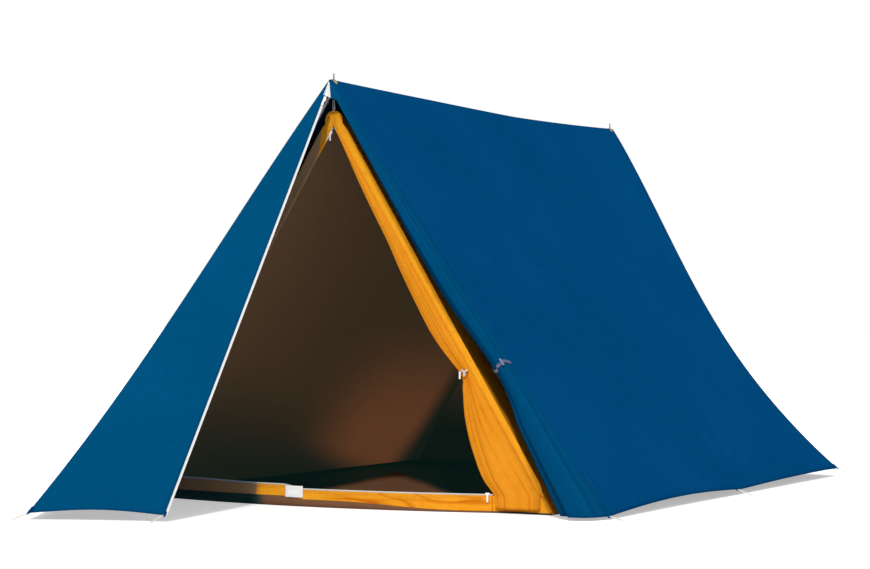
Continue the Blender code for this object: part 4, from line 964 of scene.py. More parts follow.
# %% Lay the left porch half
PORCH_SIDE_SHARE = 0.64     # share of the grid's columns on the side
SIDE_CROWDING, LEAF_CROWDING = 1.5, 1.4     # 1 would space the columns evenly
ZIP_LAP, TAPE_CLEARANCE = 0.004, 0.0012     # the leaf's edge laps over the zip tape
PORCH_SLACK, LEAF_HOLLOW, SIDE_BILLOW = 0.0032, 0.004, 0.003


def porch_share(u):
    """Whether a column is on the leaf, and its share across the side or the leaf."""
    if u < PORCH_SIDE_SHARE:
        return False, 1 - (1 - u / PORCH_SIDE_SHARE) ** SIDE_CROWDING
    return True, ((u - PORCH_SIDE_SHARE) / (1 - PORCH_SIDE_SHARE)) ** LEAF_CROWDING


def porch_place(u, v):
    """The left porch half: its side, the fold and its leaf up to the zip."""
    down = mix(0.008, 1, v)
    fold = fold_line(down)
    on_leaf, share = porch_share(u)
    if not on_leaf:
        point = mix(front_seam(-1, down), fold, share)
    else:
        lap = TAPE_OUT * min(ZIP_LAP, 0.1 * down) + LEAF_OUT * TAPE_CLEARANCE
        point = mix(fold, zip_line(down) + lap, share)
    return point + UP * (PORCH_HEM_LIFT * sin(pi * share) * down ** 8)


def porch_crease(u, v, point):
    """A little slack in the porch, with folds from its two pegs."""
    on_leaf, share = porch_share(u)
    inside = sin(pi * share) * min(v * 3, 1)
    wave = PORCH_SLACK * swell((point.x, point.y, point.z * 0.45), 0.22, 2.2)
    fold = rays(point, FOLD_PEG, SIDEWAYS if on_leaf else BACK, UP, 10, 0.16, 0.0022)
    if on_leaf:
        fold += rays(point, ZIP_PEG, SIDEWAYS, UP, 12, 0.12, 0.0018, 1.0)
    billow = (-LEAF_HOLLOW if on_leaf else SIDE_BILLOW) * sin(pi * v)
    return (wave + billow) * inside + fold * min(share * 8, 1) * min((1 - share) * 8, 1)


porch = cloth("porch_left", porch_place, 100, 110, FLY_CLOTH, [LIT_PORCH_CLOTH],
              Vector((-0.5, -0.8, 0.1)), body=None, crease=porch_crease, hems="lrt")
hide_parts("porch_side_left", "porch_leaf_left")

# %% [markdown]
# ## The porch's fold
# The leaf opens about the fold. Here the way square to the fold, from the side over to the
# leaf, is found, and the porch's mesh is set in the frame's own place.


# %% The way across the porch's fold
def square_to_fold(point):
    """The way from the fold's line to a point, square to the fold."""
    along_fold = FOLD_PEG - RIDGE_TIP
    way = point - FOLD_PEG
    return (way - along_fold * (way.dot(along_fold) / along_fold.length_squared)).normalized()


over_fold = (square_to_fold(ZIP_PEG) - square_to_fold(front_seam(-1, 1))).normalized()
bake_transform(porch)
print(f"The porch bends along {(FOLD_PEG - RIDGE_TIP).length:.3f} m of fold")

# %% [markdown]
# ## Top of the right porch half
# Only the topmost few centimetres stay zipped to the left half. They could be the start of the
# roll, but flat cloth that turns into a roll would need a twisted grid, and the twist would
# show just under the ridge. So this small flat sheet is a piece of its own.

# %% Lay the small sheet beside the slider
FLY_ZIP_PARK, SLIDER_LENGTH = 0.068, 0.013      # where the slider waits, down from the ridge
ROLL_TOP = 0.050


def porch_top_place(u, v):
    """The top of the right porch half, from the zip to its seam."""
    closed_end = (FLY_ZIP_PARK - SLIDER_LENGTH / 2) / ZIP_LENGTH
    zip_side = zip_line(mix(0.006, closed_end, v))
    return mix(zip_side, front_seam(1, mix(0.006, ROLL_TOP + 0.01, v)), u)


porch_top = cloth("porch_top", porch_top_place, 12, 16, FLY_CLOTH, [LIT_PORCH_CLOTH], FORWARD,
                  hems="t")
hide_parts("porch_top_right")

# %% [markdown]
# ## Outline of the roll
# The right porch half is rolled along its seam and tied. The roll's section is a drop with the
# tip at the seam, thin at the tie and fuller below it, with long folds along its length. A
# scaled circle would look like a pipe, so the outline is a function of its own.

# %% Section of the roll at each place
ROLL_TIE = 0.665            # the strap's share of the way down the seam
ROLL_WIDTH = curve_through(((ROLL_TOP, 0.014), (0.250, 0.037), (0.530, 0.061), (0.657, 0.053),
                            (0.673, 0.053), (0.700, 0.054), (0.755, 0.064), (0.800, 0.080),
                            (0.880, 0.096), (1.000, 0.119)))
ROLL_DEPTH = curve_through(((ROLL_TOP, 0.016), (0.250, 0.031), (0.530, 0.045), (0.657, 0.036),
                            (0.673, 0.036), (0.720, 0.038), (0.800, 0.052), (1.000, 0.080)))


def roll_outline(down, angle):
    """The outermost turn of the roll, from its tip at the seam."""
    length = (1 - cos(angle)) / 2
    rounding = sin(angle) * abs(sin(angle / 2)) ** 1.5
    tied = band(down, ROLL_TIE + 0.01, 0.040)
    ripple = 0.075 * sin(5 * angle + 1.5 * down) + 0.060 * sin(9 * angle + 7 * down + 1)
    ripple += 0.040 * tied * sin(13 * angle)
    fold = 1 + ripple * abs(sin(angle / 2)) ** 2
    across = (length * 0.98 - rounding * 0.50) * ROLL_WIDTH(down) * fold
    ahead = (length * 0.98 + rounding * 0.50) * ROLL_DEPTH(down) * fold
    return front_seam(1, down) - Vector((across, ahead, 0))


def roll_middle(down):
    """The line that the roll is wound round."""
    return mix(roll_outline(down, 0), roll_outline(down, pi), 0.5)


print(f"The roll is {ROLL_WIDTH(ROLL_TIE) * 1000:.0f} mm wide at its strap and "
      f"{ROLL_WIDTH(1) * 1000:.0f} mm at its foot")

# %% [markdown]
# ## Right porch half, rolled along its seam and tied
# A bent tube would give the outline of the roll, but no end of rolled cloth at its foot. So the
# roll is a real spiral. The cloth leaves the seam, goes round outside and ends at the zip
# inside, five and a half turns later. Two pale streaks run down it, painted highlights, with a
# painted shaded crease between them and painted shade on the rest of it.

# %% Roll up the right porch half
ROLL_TURNS, ROLL_TIGHTNESS = 5.5, 0.12


def roll_place(u, v):
    """A point of the rolled cloth: u from the seam inwards, v from the top to the hem."""
    down, turn = mix(ROLL_TOP, 1, v), u * ROLL_TURNS
    middle = roll_middle(down)
    return mix(middle, roll_outline(down, 2 * pi * turn), 1 - ROLL_TIGHTNESS * turn)


def roll_out(point):
    """Out from the roll's middle."""
    return point - roll_middle(min(max(1 - point.z / RIDGE_HEIGHT, ROLL_TOP), 1))


def roll_painted_light(u, v):
    """Painted light on the roll: two pale streaks of painted highlight, and painted shade
    elsewhere, deepest in a crease between them.
    """
    turn = u * ROLL_TURNS
    across = (1 - cos(2 * pi * turn)) / 2 if turn < 0.5 else 1.0
    shift = 0.05 * sin(5 * v + 1)
    pale = band(across, 0.26 + shift, 0.08) + band(across, 0.60 + shift, 0.09)
    return (0.42 * (1 - min(pale, 1)) + 0.40 * groove(across, 0.43 + shift, 0.022)) * ease(
        v, 0.0, 0.10)


roll = cloth("porch_right_roll", roll_place, 230, 110, FLY_CLOTH, [LIT_PORCH_CLOTH], roll_out,
             fold=roll_painted_light, hems="t")
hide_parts("porch_right_rolled")

# %% [markdown]
# ## Strap of the roll
# A short webbing strap with a toggle goes round the roll's neck, lower at the front than over
# its crest. A plain ring would cut into the roll's folds or stand off it. So the strap asks the
# roll for its surface, and keeps the same small distance from it all the way round.

# %% Wrap the strap round the roll
STRAP_HALF_WIDTH, STRAP_DIP, STRAP_CREST = 0.0055, 0.022, 0.004
STRAP_STANDOFF, TURN_STEP = 0.0014, 0.01


def roll_surface(down, turn, distance):
    """A point at a distance straight out from the roll."""
    point = roll_outline(down, 2 * pi * turn)
    before = roll_outline(down, 2 * pi * (turn - TURN_STEP))
    round_it = roll_outline(down, 2 * pi * (turn + TURN_STEP)) - before
    out = round_it.cross(SLOPE_DOWN).normalized()
    if out.dot(point - roll_middle(down)) < 0:
        out = -out
    return point + out * distance


def strap_place(u, v):
    """The strap, from one side of the seam round the front to the other."""
    turn = mix(0.06, 0.94, u)
    dip = STRAP_DIP * band(turn, 0.53, 0.15) - STRAP_CREST * band(turn, 0.25, 0.10)
    down = ROLL_TIE + dip + mix(-STRAP_HALF_WIDTH, STRAP_HALF_WIDTH, v) / SLOPE_LENGTH
    return roll_surface(down, turn, STRAP_STANDOFF)


strap = cloth("roll_strap_webbing", strap_place, 90, 6, 0.0012, [WEBBING], roll_out,
              slot="grey_webbing", hems="bt")
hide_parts("roll_strap")

# %% [markdown]
# ## Side walls of the inner tent
# Light cotton hangs from its own ridge to the floor's edge. It is looser than the flysheet, so
# its swells are deeper than the roof's. Its inside is painted brown, as painted shade. That
# could be a second sheet, but a second material on the inner face of the wall does the same.

# %% Lay the two side walls
INNER_CLOTH, WALL_FOOT = 0.0004, 0.005
RIDGE_ROUNDING, ROUNDING_SHARE = 0.006, 0.012
WALL_SLACK, WALL_CREASE, WALL_HANG = 0.010, 0.002, 0.012


def wall_place(side):
    """A side wall of the inner tent, from the ridge to the floor."""
    def place(u, v):
        z = mix(INNER_HEIGHT, WALL_FOOT, u)
        y = mix(0.0008, inner_rear_y(z), v)
        hang = (INNER_HEIGHT - ridge_z(y, INNER_HEIGHT, INNER_SAG, INNER_REAR_TOP)) * (1 - u)
        hang += RIDGE_ROUNDING * exp(-u / ROUNDING_SHARE)
        return Vector((side * wall_x(z), y, z - hang))
    return place


def wall_crease(u, v, point):
    """Soft folds inside the wall's edges."""
    inside = (ease(u, 0, 0.2) * ease(u, 1, 0.85) * ease(v, 0, 0.12) * ease(v, 1, 0.88))
    soft = WALL_SLACK * swell((point.x, point.y, point.z * 0.35), 0.32, 4.4)
    fine = WALL_CREASE * swell((point.x, point.y * 2, point.z * 0.7), 0.12, 9.1)
    return (soft + fine - WALL_HANG) * inside


for side, word in SIDES:
    piece = cloth(f"inner_side_{word}", wall_place(side), 70, 90, INNER_CLOTH, [ORANGE, SHADE],
                  Vector((side, 0, 0.6)), slot="orange_inner_cloth", crease=wall_crease,
                  hems="lb")
    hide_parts(f"inner_wall_{word}")

# %% [markdown]
# ## Rear wall
# The rear wall is a plain triangle that leans in a little towards its top, and closes the inner
# tent under the rear end. It is laid by rows from the ridge down, each as wide as the side walls
# allow at its height, so it meets them at both seams. Trimming a larger sheet would leave
# ragged edges. Its folds are those of the side walls, because it is the same cloth.


# %% Lay the rear wall
def inner_rear_place(u, v):
    """The triangular rear wall."""
    z = mix(INNER_HEIGHT - 0.008, WALL_FOOT, v)
    half = wall_x(z) - 0.0006
    return Vector((mix(-half, half, u), inner_rear_y(z) - 0.0006, z))


inner_rear = cloth("inner_rear", inner_rear_place, 50, 60, INNER_CLOTH, [ORANGE, DARK_SHADE],
                   BACK, slot="orange_inner_cloth", crease=wall_crease, hems="lr")
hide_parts("inner_rear_wall")

# %% [markdown]
# ## Strips beside the doorway
# Two narrow strips join the walls to the doorway and close above it in a rounded peak, which
# the hanger cord pulls up. Cutting the doorway out of a whole front with a Boolean modifier
# would leave long thin triangles. Two strips keep rows that run across, close together near
# the peak, where the outline turns.

# %% Lay the two strips
STRIP_TOP = 1.299
PEAK_START, PEAK_HALF_WIDTH = 1.258, 0.034
SEAM_FLAP = 0.010           # the seam with the side wall stands out
DOORWAY_TOP = 1.249


def strip_place(side):
    """The strip of wall between a side seam and the doorway."""
    def place(u, v):
        z = mix(STRIP_BOTTOM, STRIP_TOP, 1 - (1 - v) ** 1.7)
        arch = min(max((DOORWAY_TOP - z) / 0.006, 0), 1) ** 0.5
        inner = max(door_edge_x(z), 0.0) * arch
        peak = (z - PEAK_START) / (STRIP_TOP - PEAK_START)
        rounded = PEAK_HALF_WIDTH * max(1 - max(peak, 0) ** 3, 0) ** 0.5 if peak > 0 else 0.0
        flap = SEAM_FLAP * ease(z, 1.275, 1.225) * ease(z, 0.06, 0.10)
        return Vector((side * mix(inner, max(wall_x(z) + flap, rounded), u), 0, z))
    return place


def strip_crease(u, v, point):
    """Small pulls along the strip."""
    return 0.0003 * sin(pi * u) * swell(point, 0.05, 6.0)


for side, word in SIDES:
    piece = cloth(f"inner_strip_{word}", strip_place(side), 14, 140, INNER_CLOTH,
                  [SUNLIT_FRONT_COTTON, SHADE], FORWARD, slot="orange_inner_cloth",
                  crease=strip_crease, hems="l")
    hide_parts(f"inner_front_{word}")

# %% [markdown]
# ## Edges of the sill
# The sill is the low wall under the doorway. The floor's turned-up edge stands higher along the
# slack left part of the sill, where it shows as a brown band under the orange, and there the
# sill's top is pulled up too, as far as the tag. Sculpting would do, but the floor, the zip and
# the tag have to follow the same edges, so they are functions of the place along the front.

# %% Heights along the front
RIM_HEIGHT = 0.012          # turned-up edge of the floor at the sides and the rear
FRONT_RIM, RIM_RISE, RIM_RISE_LEFT = 0.006, 0.018, 0.009
SILL_RISE, SILL_RISE_LEFT = 0.013, 0.005


def left_of_tag(x):
    """1 to the left of the tag, and 0 to its right and at the left end."""
    return ease(x, -0.045, -0.130) * ease(x, -0.710, -0.620)


def rim_z(x):
    """Height of the floor's turned-up edge along the front."""
    middle = ease(x, -0.800, -0.550) * ease(x, 0.500, 0.050)
    return FRONT_RIM + RIM_RISE * middle + RIM_RISE_LEFT * left_of_tag(x)


def sill_top(x):
    """Height of the sill."""
    return SILL_HEIGHT + left_of_tag(x) * (SILL_RISE + SILL_RISE_LEFT * ease(x, -0.2, -0.5))


print(f"The sill is {sill_top(-0.4):.3f} m high on the left and {sill_top(0.4):.3f} m on the right")

# %% [markdown]
# ## Sill
# The sill is pulled along its length, so it has small slanted wrinkles in its right part and
# shade low down. Deep geometry would need a very fine grid, so the cloth is creased by only a
# millimetre, and its `fold` values draw the shade of the wrinkles.

# %% Lay the sill
SILL_LAP = 0.004            # the sill reaches this far down behind the floor's edge
SILL_SLACK, WRINKLE_DEPTH, WRINKLE_SHADE = 0.0022, 0.0010, 0.60
LOW_SHADE, STREAK_SHADE = 0.22, 0.60


def sill_place(u, v):
    """The low wall under the doorway, which bows forward."""
    x = mix(-wall_x(RIM_HEIGHT), wall_x(RIM_HEIGHT), u)
    z = mix(rim_z(x) - SILL_LAP, sill_top(x), v)
    x *= wall_x(z) / wall_x(RIM_HEIGHT)
    return Vector((x, front_edge_y(x), z))


def wrinkle(x, z):
    """How deep in a small wrinkle a place on the sill is, from 0 to 1."""
    slanted = (0.42 * x + 0.6 * z, 0, z * 2.4)
    line = max(1 - 7 * abs(swell(slanted, 0.075, 4.0)), 0)
    return line * ease(x, -0.06, 0.10) * ease(x, 0.60, 0.55)


def sill_crease(u, v, point):
    """Slight slack along the sill, with wrinkles in its right part."""
    slack = SILL_SLACK * sin(pi * v) * (swell((point.x, 0, point.z * 0.5), 0.07, 1.2)
                                        + 0.4 * swell((point.x, 0, point.z), 0.025, 8.0))
    return slack - WRINKLE_DEPTH * sin(pi * v) * wrinkle(point.x, point.z)


def sill_fold(u, v):
    """Shade in the wrinkles, and a little more low down."""
    place = sill_place(u, v)
    streak = ease(swell((0.30 * place.x, 0, 1.8 * place.z), 0.040, 11.0), -0.1, 0.6)
    low = (LOW_SHADE + STREAK_SHADE * streak) * ease(v, 0.95, 0.50)
    return WRINKLE_SHADE * wrinkle(place.x, place.z) + low * ease(place.x, -0.06, 0.10)


sill = cloth("inner_sill_cloth", sill_place, 400, 14, INNER_CLOTH, [SUNLIT_FRONT_COTTON, SHADE],
             FORWARD, slot="orange_inner_cloth", crease=sill_crease, fold=sill_fold, hems="t")
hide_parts("inner_sill")

# %% [markdown]
# ## Floor of the inner tent
# The floor is coated cloth that lies on the ground, with its edge turned up inside the walls. A
# box without a lid would do for a stiff tray. Here one grid has its outer columns and rows
# turned up, as a person folds the edge of a sheet, and shallow ripples only rise from the
# ground.

# %% Lay the floor sheet
FLOOR_THICKNESS, RIM_SHARE = 0.0008, 0.02   # RIM_SHARE of the grid is turned up at each edge
RIM_INSET, RIM_LEAN = 0.003, 0.002
FLOOR_RIPPLE, FLOOR_CREASE = 0.007, 0.003


def floor_place(u, v):
    """The waterproof floor, with its edge turned up under the walls."""
    rim = RIM_SHARE
    flat_u, flat_v = min(max(u, rim), 1 - rim), min(max(v, rim), 1 - rim)
    half = wall_x(RIM_HEIGHT) - RIM_INSET
    x = mix(-half, half, (flat_u - rim) / (1 - 2 * rim))
    front, rear = front_edge_y(x) - 0.0008, INNER_REAR_FOOT - 0.004
    y = mix(front, rear, (flat_v - rim) / (1 - 2 * rim))
    side_rise, end_rise = abs(u - flat_u) / rim, abs(v - flat_v) / rim
    rise = max(side_rise, end_rise)
    height = rim_z(x) if v < flat_v and end_rise >= side_rise else RIM_HEIGHT
    x += RIM_LEAN * (side_rise if u > 0.5 else -side_rise)
    y += RIM_LEAN * end_rise * (v > 0.5)
    return Vector((x, y, FLOOR_THICKNESS + (height - FLOOR_THICKNESS) * rise))


def floor_crease(u, v, point):
    """Ripples of the sheet on the ground, none of which goes below it."""
    inside = ease(u, 0.02, 0.08) * ease(u, 0.98, 0.92) * ease(v, 0.02, 0.06) * ease(v, 0.98, 0.92)
    ripple = max(swell(point, 0.30, 7.0), 0) * FLOOR_RIPPLE
    return (ripple + max(swell(point, 0.09, 3.0), 0) * FLOOR_CREASE) * inside


floor_sheet = cloth("groundsheet_pvc", floor_place, 100, 100, FLOOR_THICKNESS, [FLOOR_PVC], UP,
                    slot="brown_groundsheet", crease=floor_crease)
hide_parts("groundsheet")

# %% [markdown]
# ## Inner door, gathered to the right and tied
# The door is a triangle of thin cotton that hangs from the right edge of the doorway. Drawn
# aside, it makes a flat bundle. A simulation could gather it, but each run would end in another
# shape. So it is laid as a spiral: first the front that shows, then the turns behind it. Its
# front has a few sharp folds that close in on the tie and spread out below it. The hinge side
# stays flat on the strip, so no gap shows there.

# %% Widths and folds of the gathered door
DOOR_TOP, DOOR_TIE, DOOR_FOOT = 1.235, 0.433, 0.014
DOOR_TURNS, DOOR_TIGHTNESS = 7.5, 0.10
DOOR_FRONT_SHARE = 0.45     # share of the grid's columns on the front that shows
DOOR_WIDTH = curve_through(((DOOR_TOP, 0.005), (1.166, 0.012), (1.066, 0.026), (0.966, 0.035),
                            (0.867, 0.042), (0.769, 0.055), (0.672, 0.064), (0.576, 0.069),
                            (0.525, 0.064), (0.475, 0.052), (DOOR_TIE, 0.041), (0.385, 0.067),
                            (0.290, 0.118), (0.195, 0.152), (0.102, 0.170), (0.062, 0.161),
                            (DOOR_FOOT, 0.156)))
DOOR_FOLDS = (              # place of each sharp fold, 0 at the hinge and 1 at the free edge
    curve_through(((0.80, 0.86), (0.62, 0.85), (DOOR_TIE, 0.78), (0.30, 0.84), (0.06, 0.93))),
    curve_through(((0.80, 0.70), (0.62, 0.71), (DOOR_TIE, 0.64), (0.30, 0.70), (0.06, 0.74))),
    curve_through(((0.80, 0.54), (0.62, 0.55), (DOOR_TIE, 0.50), (0.30, 0.50), (0.10, 0.42))),
    curve_through(((0.80, 0.30), (0.62, 0.29), (DOOR_TIE, 0.34), (0.30, 0.27), (0.10, 0.17))))
FOLD_HALF_WIDTH, FOLD_BITE = 0.0026, 0.62   # the folds take this share of the bundle's depth


def loose(z):
    """How freely the door hangs: 0 from the tie up, 1 at its foot."""
    return max(DOOR_TIE - z, 0) / DOOR_TIE


def sharp_folds(across, z):
    """Depth of the sharp folds at a place on the door's front, from 0 to 1."""
    wide = FOLD_HALF_WIDTH / DOOR_WIDTH(z)
    near_tie = 0.45 + 0.55 * band(z, DOOR_TIE, 0.22)
    return min(sum(groove(across, read(z), wide) for read in DOOR_FOLDS), 1) * near_tie * (
        ease(z, 0.95, 0.70))


print(f"The door is {DOOR_WIDTH(DOOR_TIE) * 1000:.0f} mm wide at its tie and "
      f"{DOOR_WIDTH(0.1) * 1000:.0f} mm near its foot")

# %% [markdown]
# ## Outline of the gathered door
# The bundle is flat: its front stands a few millimetres off the strip, and its back lies on it.
# A flattened tube would be the same all the way down. This outline has its own width, depth
# and folds at each height, and hangs freer towards its foot.

# %% Section of the door at each height
TIED_DEPTH, TIED_WIDTH = 0.0056, 0.041      # the bundle's depth and width at its tie
DEPTH_GAIN, FOOT_DEPTH, FOOT_STANDOFF = 0.11, 0.004, 0.010
HINGE_GAP, EDGE_GAP, HINGE_LAP = 0.0006, 0.0013, 0.003


def door_outline(z, angle):
    """The outermost turn of the gathered door, from its hinge side round the front."""
    width = DOOR_WIDTH(z)
    across = (1 - cos(angle)) / 2
    depth = TIED_DEPTH + DEPTH_GAIN * max(width - TIED_WIDTH, 0) + FOOT_DEPTH * loose(z)
    depth = min(depth, 0.4 * width)
    standoff = mix(HINGE_GAP, EDGE_GAP, min(12 * across, 1)) + FOOT_STANDOFF * loose(z) * across
    x = door_edge_x(max(z, STRIP_BOTTOM)) + HINGE_LAP - width * across
    if sin(angle) > 0:      # the front
        swelling = sin(pi * across ** 0.8) ** 0.55 if 0 < across < 1 else 0.0
        waves = 0.12 * sin(11 * across + 9 * z) * (1 - band(z, DOOR_TIE, 0.06))
        ahead = depth * swelling * (1 + waves - FOLD_BITE * sharp_folds(across, z))
        return Vector((x, -standoff - ahead, z))
    return Vector((x, -standoff + 0.0004 * abs(sin(angle)) * across, z))


def door_middle(z):
    """The line that the door's bundle is wound round."""
    return mix(door_outline(z, pi / 2), door_outline(z, -pi / 2), 0.5)


print(f"The door's middle is {-door_middle(DOOR_TIE).y * 1000:.1f} mm in front of the strip")

# %% [markdown]
# ## Winding the door
# Every turn of the bundle is the outermost one, drawn in towards the middle line. So one
# function for the outline, one for the middle and a share between them place all seven and a
# half turns. Modelling each turn by hand would leave places where the turns cross.


# %% Lay the gathered door
def door_place(u, v):
    """A point of the gathered door: u from its hinge side inwards, v from top to foot."""
    z = mix(DOOR_TOP, DOOR_FOOT, v)
    if u < DOOR_FRONT_SHARE:
        turn = 0.5 * u / DOOR_FRONT_SHARE
    else:
        turn = mix(0.5, DOOR_TURNS, (u - DOOR_FRONT_SHARE) / (1 - DOOR_FRONT_SHARE))
    return mix(door_middle(z), door_outline(z, 2 * pi * turn), 1 - DOOR_TIGHTNESS * turn)


def door_out(point):
    """Out from the middle of the gathered door."""
    return point - door_middle(min(max(point.z, DOOR_FOOT), DOOR_TOP))


def door_fold(u, v):
    """Shade in the sharp folds of the front."""
    if u >= DOOR_FRONT_SHARE:
        return 0.0
    z = mix(DOOR_TOP, DOOR_FOOT, v)
    across = (1 - cos(pi * u / DOOR_FRONT_SHARE)) / 2
    return 0.95 * sharp_folds(across, z)


door = cloth("inner_door_gathered", door_place, 330, 120, 0.0003, [ORANGE], door_out,
             slot="orange_inner_cloth", fold=door_fold)
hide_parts("inner_door")

# %% [markdown]
# ## Porch zip
# A white tape is sewn behind the edge of the left porch half, so only 8 mm of it shows. A thin
# box would do, but it would have no weave. So the tape is laid like any cloth, with a hem
# along its sewn edge, and it rides on the leaf, because it opens with it.

# %% Lay the tape of the porch zip
FLY_TAPE_WIDTH, TAPE_FRONT = 0.012, 0.0008


def fly_tape_place(u, v):
    """The tape along the free edge of the left porch half."""
    down = mix(FLY_ZIP_PARK - SLIDER_LENGTH / 2 + 0.002, ZIP_LENGTH, v)
    return RIDGE_TIP + ZIP_DOWN * down + TAPE_OUT * (FLY_TAPE_WIDTH * u)


fly_tape = cloth("fly_tape", fly_tape_place, 4, 160, TAPE_FRONT, [TAPE], LEAF_OUT,
                 body="porch_leaf", slot="white_zip_tape", hems="l")
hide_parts("fly_zip_tape")

# %% [markdown]
# ## Teeth of the porch zip
# The moulded teeth stand 3 mm apart along the edge of the tape. An Array modifier could repeat
# one tooth, but it would have to be turned into the zip's direction by hand. Here a small
# block with a narrower top is made at each place, all in one mesh, so the row is one piece.

# %% Make the row of teeth
TOOTH_PITCH, TOOTH_LENGTH, TOOTH_HEIGHT = 0.0030, 0.0030, 0.0019
TOOTH_SHARE, TOOTH_TAPER, TOOTH_INSET = 0.62, 0.75, 0.0017


def row_of_teeth(name, places, along, outward, normal, body):
    """A row of zip teeth: a small block with a narrower top at each place."""
    bm = bmesh.new()
    for place in places:
        turn = Matrix((outward, along, normal)).transposed().to_4x4()
        size = Matrix.Diagonal((TOOTH_LENGTH, TOOTH_PITCH * TOOTH_SHARE, TOOTH_HEIGHT, 1))
        made = bmesh.ops.create_cube(bm, size=1, matrix=Matrix.Translation(place) @ turn @ size)
        top = [vert for vert in made["verts"] if (vert.co - place).dot(normal) > 0]
        bmesh.ops.scale(bm, verts=top, vec=(TOOTH_TAPER,) * 3, space=Matrix.Translation(
            -place - normal * (TOOTH_HEIGHT / 2)))
    bmesh.ops.recalc_face_normals(bm, faces=bm.faces)
    print(f"{name}: {len(places)} teeth")
    return mesh_object(name, bm, [PLASTIC], body, smooth=False)


def steps_between(low, high, pitch):
    """Even steps from one value to another."""
    return [low + pitch * step for step in range(int((high - low) / pitch) + 1)]


row_of_teeth(
    "fly_teeth", [RIDGE_TIP + ZIP_DOWN * down + TAPE_OUT * (FLY_TAPE_WIDTH - TOOTH_INSET)
                  for down in steps_between(FLY_ZIP_PARK + SLIDER_LENGTH + 0.004,
                                            ZIP_LENGTH - 0.006, TOOTH_PITCH)],
    ZIP_DOWN, TAPE_OUT, LEAF_OUT, "porch_leaf")

# %% [markdown]
# ## Closed top of the porch zip
# Above the slider the zip is closed, so its white tape runs on over the top of the right porch
# half. It is laid with that sheet's own function, only narrower, and a small constant crease
# lifts it off the blue cloth. Copying the sheet's lines by hand would leave gaps.

# %% Lay the closed top
CLOSED_ZIP_WIDTH, CLOSED_ZIP_LIFT = 0.026, 0.0013


def closed_top_place(u, v):
    """The closed top of the zip, over the top of the right porch half."""
    row = porch_top_place(1, 1) - porch_top_place(0, 1)
    return porch_top_place(u * CLOSED_ZIP_WIDTH / row.length, v)


closed_top = cloth("fly_zip_top_tape", closed_top_place, 8, 20, 0.0010, [TAPE], FORWARD,
                   slot="white_zip_tape", crease=lambda u, v, point: CLOSED_ZIP_LIFT, hems="r")
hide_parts("fly_zip_closed_top")

# %% [markdown]
# ## Finishes of the inner tent's zips
# The sill carries one half of its zip as a thin pale line, grey at the shaded end. The doorway
# edges carry the other zip: white where its two tapes part at the apex, and bound in orange
# tape below. Separate pieces could show each colour, but a change of tone along one tape is
# a change of colour and no seam, so the materials make it.

# %% Two tape finishes
# The zip tape's tone in painted shade, at the sill's shaded end.
TAPE_PAINTED_SHADE = (150, 172, 204)
BINDING_TOP, BINDING_END = 1.200, 1.205     # between these heights the orange binding starts


def tape_end_painted_shade(look, tone):
    """Painted shade: grey-blue to the left of the shade line."""
    beyond = look.math("SUBTRACT", look.split()[0], SHADE_FOOT)
    return look.mixed(tone, rgb(TAPE_PAINTED_SHADE), look.span(beyond, 0.02, -0.05))


def orange_below(look, tone):
    """White at the top of the doorway, orange below, and brown beyond the shade line."""
    orange = look.span(look.split()[2], BINDING_END, BINDING_TOP)
    return shade_line(look, look.mixed(tone, rgb(SUNLIT_ORANGE), orange))


SILL_TAPE_LOOK = cloth_look("sill_zip_tape", (214, 210, 202), (226, 222, 214), (160, 156, 150),
                            0.75, weave=0.0012, recolour=tape_end_painted_shade, Specular_IOR_Level=0.15)
DOOR_TAPE_LOOK = cloth_look("door_zip_tape", (222, 222, 220), (236, 236, 234), (172, 174, 176),
                            0.75, weave=0.0012, recolour=orange_below, Specular_IOR_Level=0.12)

# %% [markdown]
# ## Zip of the sill
# The tape is sewn along the top of the sill and stands up 5 mm. It follows the sill's own
# height and bow, so the two can't part, wherever the sill is changed.

# %% Lay the sill's tape
SILL_ZIP_LEFT, SILL_ZIP_RIGHT, SILL_TAPE = -0.740, 0.600, 0.0050


def sill_tape_place(u, v):
    """The zip tape along the top of the sill."""
    x = mix(SILL_ZIP_LEFT, SILL_ZIP_RIGHT, u)
    return Vector((x, front_edge_y(x), sill_top(x) + SILL_TAPE * v))


sill_tape = cloth("sill_tape", sill_tape_place, 150, 3, 0.0008, [SILL_TAPE_LOOK], FORWARD,
                  slot="white_zip_tape", hems="b")
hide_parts("sill_zip_tape")

# %% [markdown]
# ## Zip of the doorway
# Each edge of the doorway carries one tape. The left one runs down to the sill. On the right
# only the top shows, and the rest is gathered up with the door, so that tape is short. The two
# lie one behind the other, because they cross at the apex.

# %% Lay the doorway's tapes
DOOR_TAPE_WIDTH, DOOR_TAPE_TOP, DOOR_TAPE_FOOT = 0.006, 1.252, 0.070
RIGHT_TAPE_LENGTH = 0.062


def door_tape_place(side, foot, y):
    """A zip tape that is sewn behind one edge of the doorway."""
    def place(u, v):
        z = mix(DOOR_TAPE_TOP, foot, v)
        edge = door_edge_x(z) + 0.0018
        return Vector((side * max(mix(edge, edge - DOOR_TAPE_WIDTH, u), 0.0005), y, z))
    return place


for side, word, foot, y in ((-1, "left", DOOR_TAPE_FOOT, 0.0009),
                            (1, "right", DOOR_TAPE_TOP - RIGHT_TAPE_LENGTH, 0.0018)):
    piece = cloth(f"door_tape_{word}", door_tape_place(side, foot, y), 3, 60, 0.0008,
                  [DOOR_TAPE_LOOK], FORWARD, slot="white_zip_tape", hems="l")
    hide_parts(f"door_zip_tape_{word}")

# %% [markdown]
# ## Tag
# The tag on the sill is a small white rectangle of satin, sewn on along its edges. A flat
# plane would be enough from afar, but it would look like paint from near. So it is a cloth of
# its own with four hems, slightly full in the middle. It stays blank.

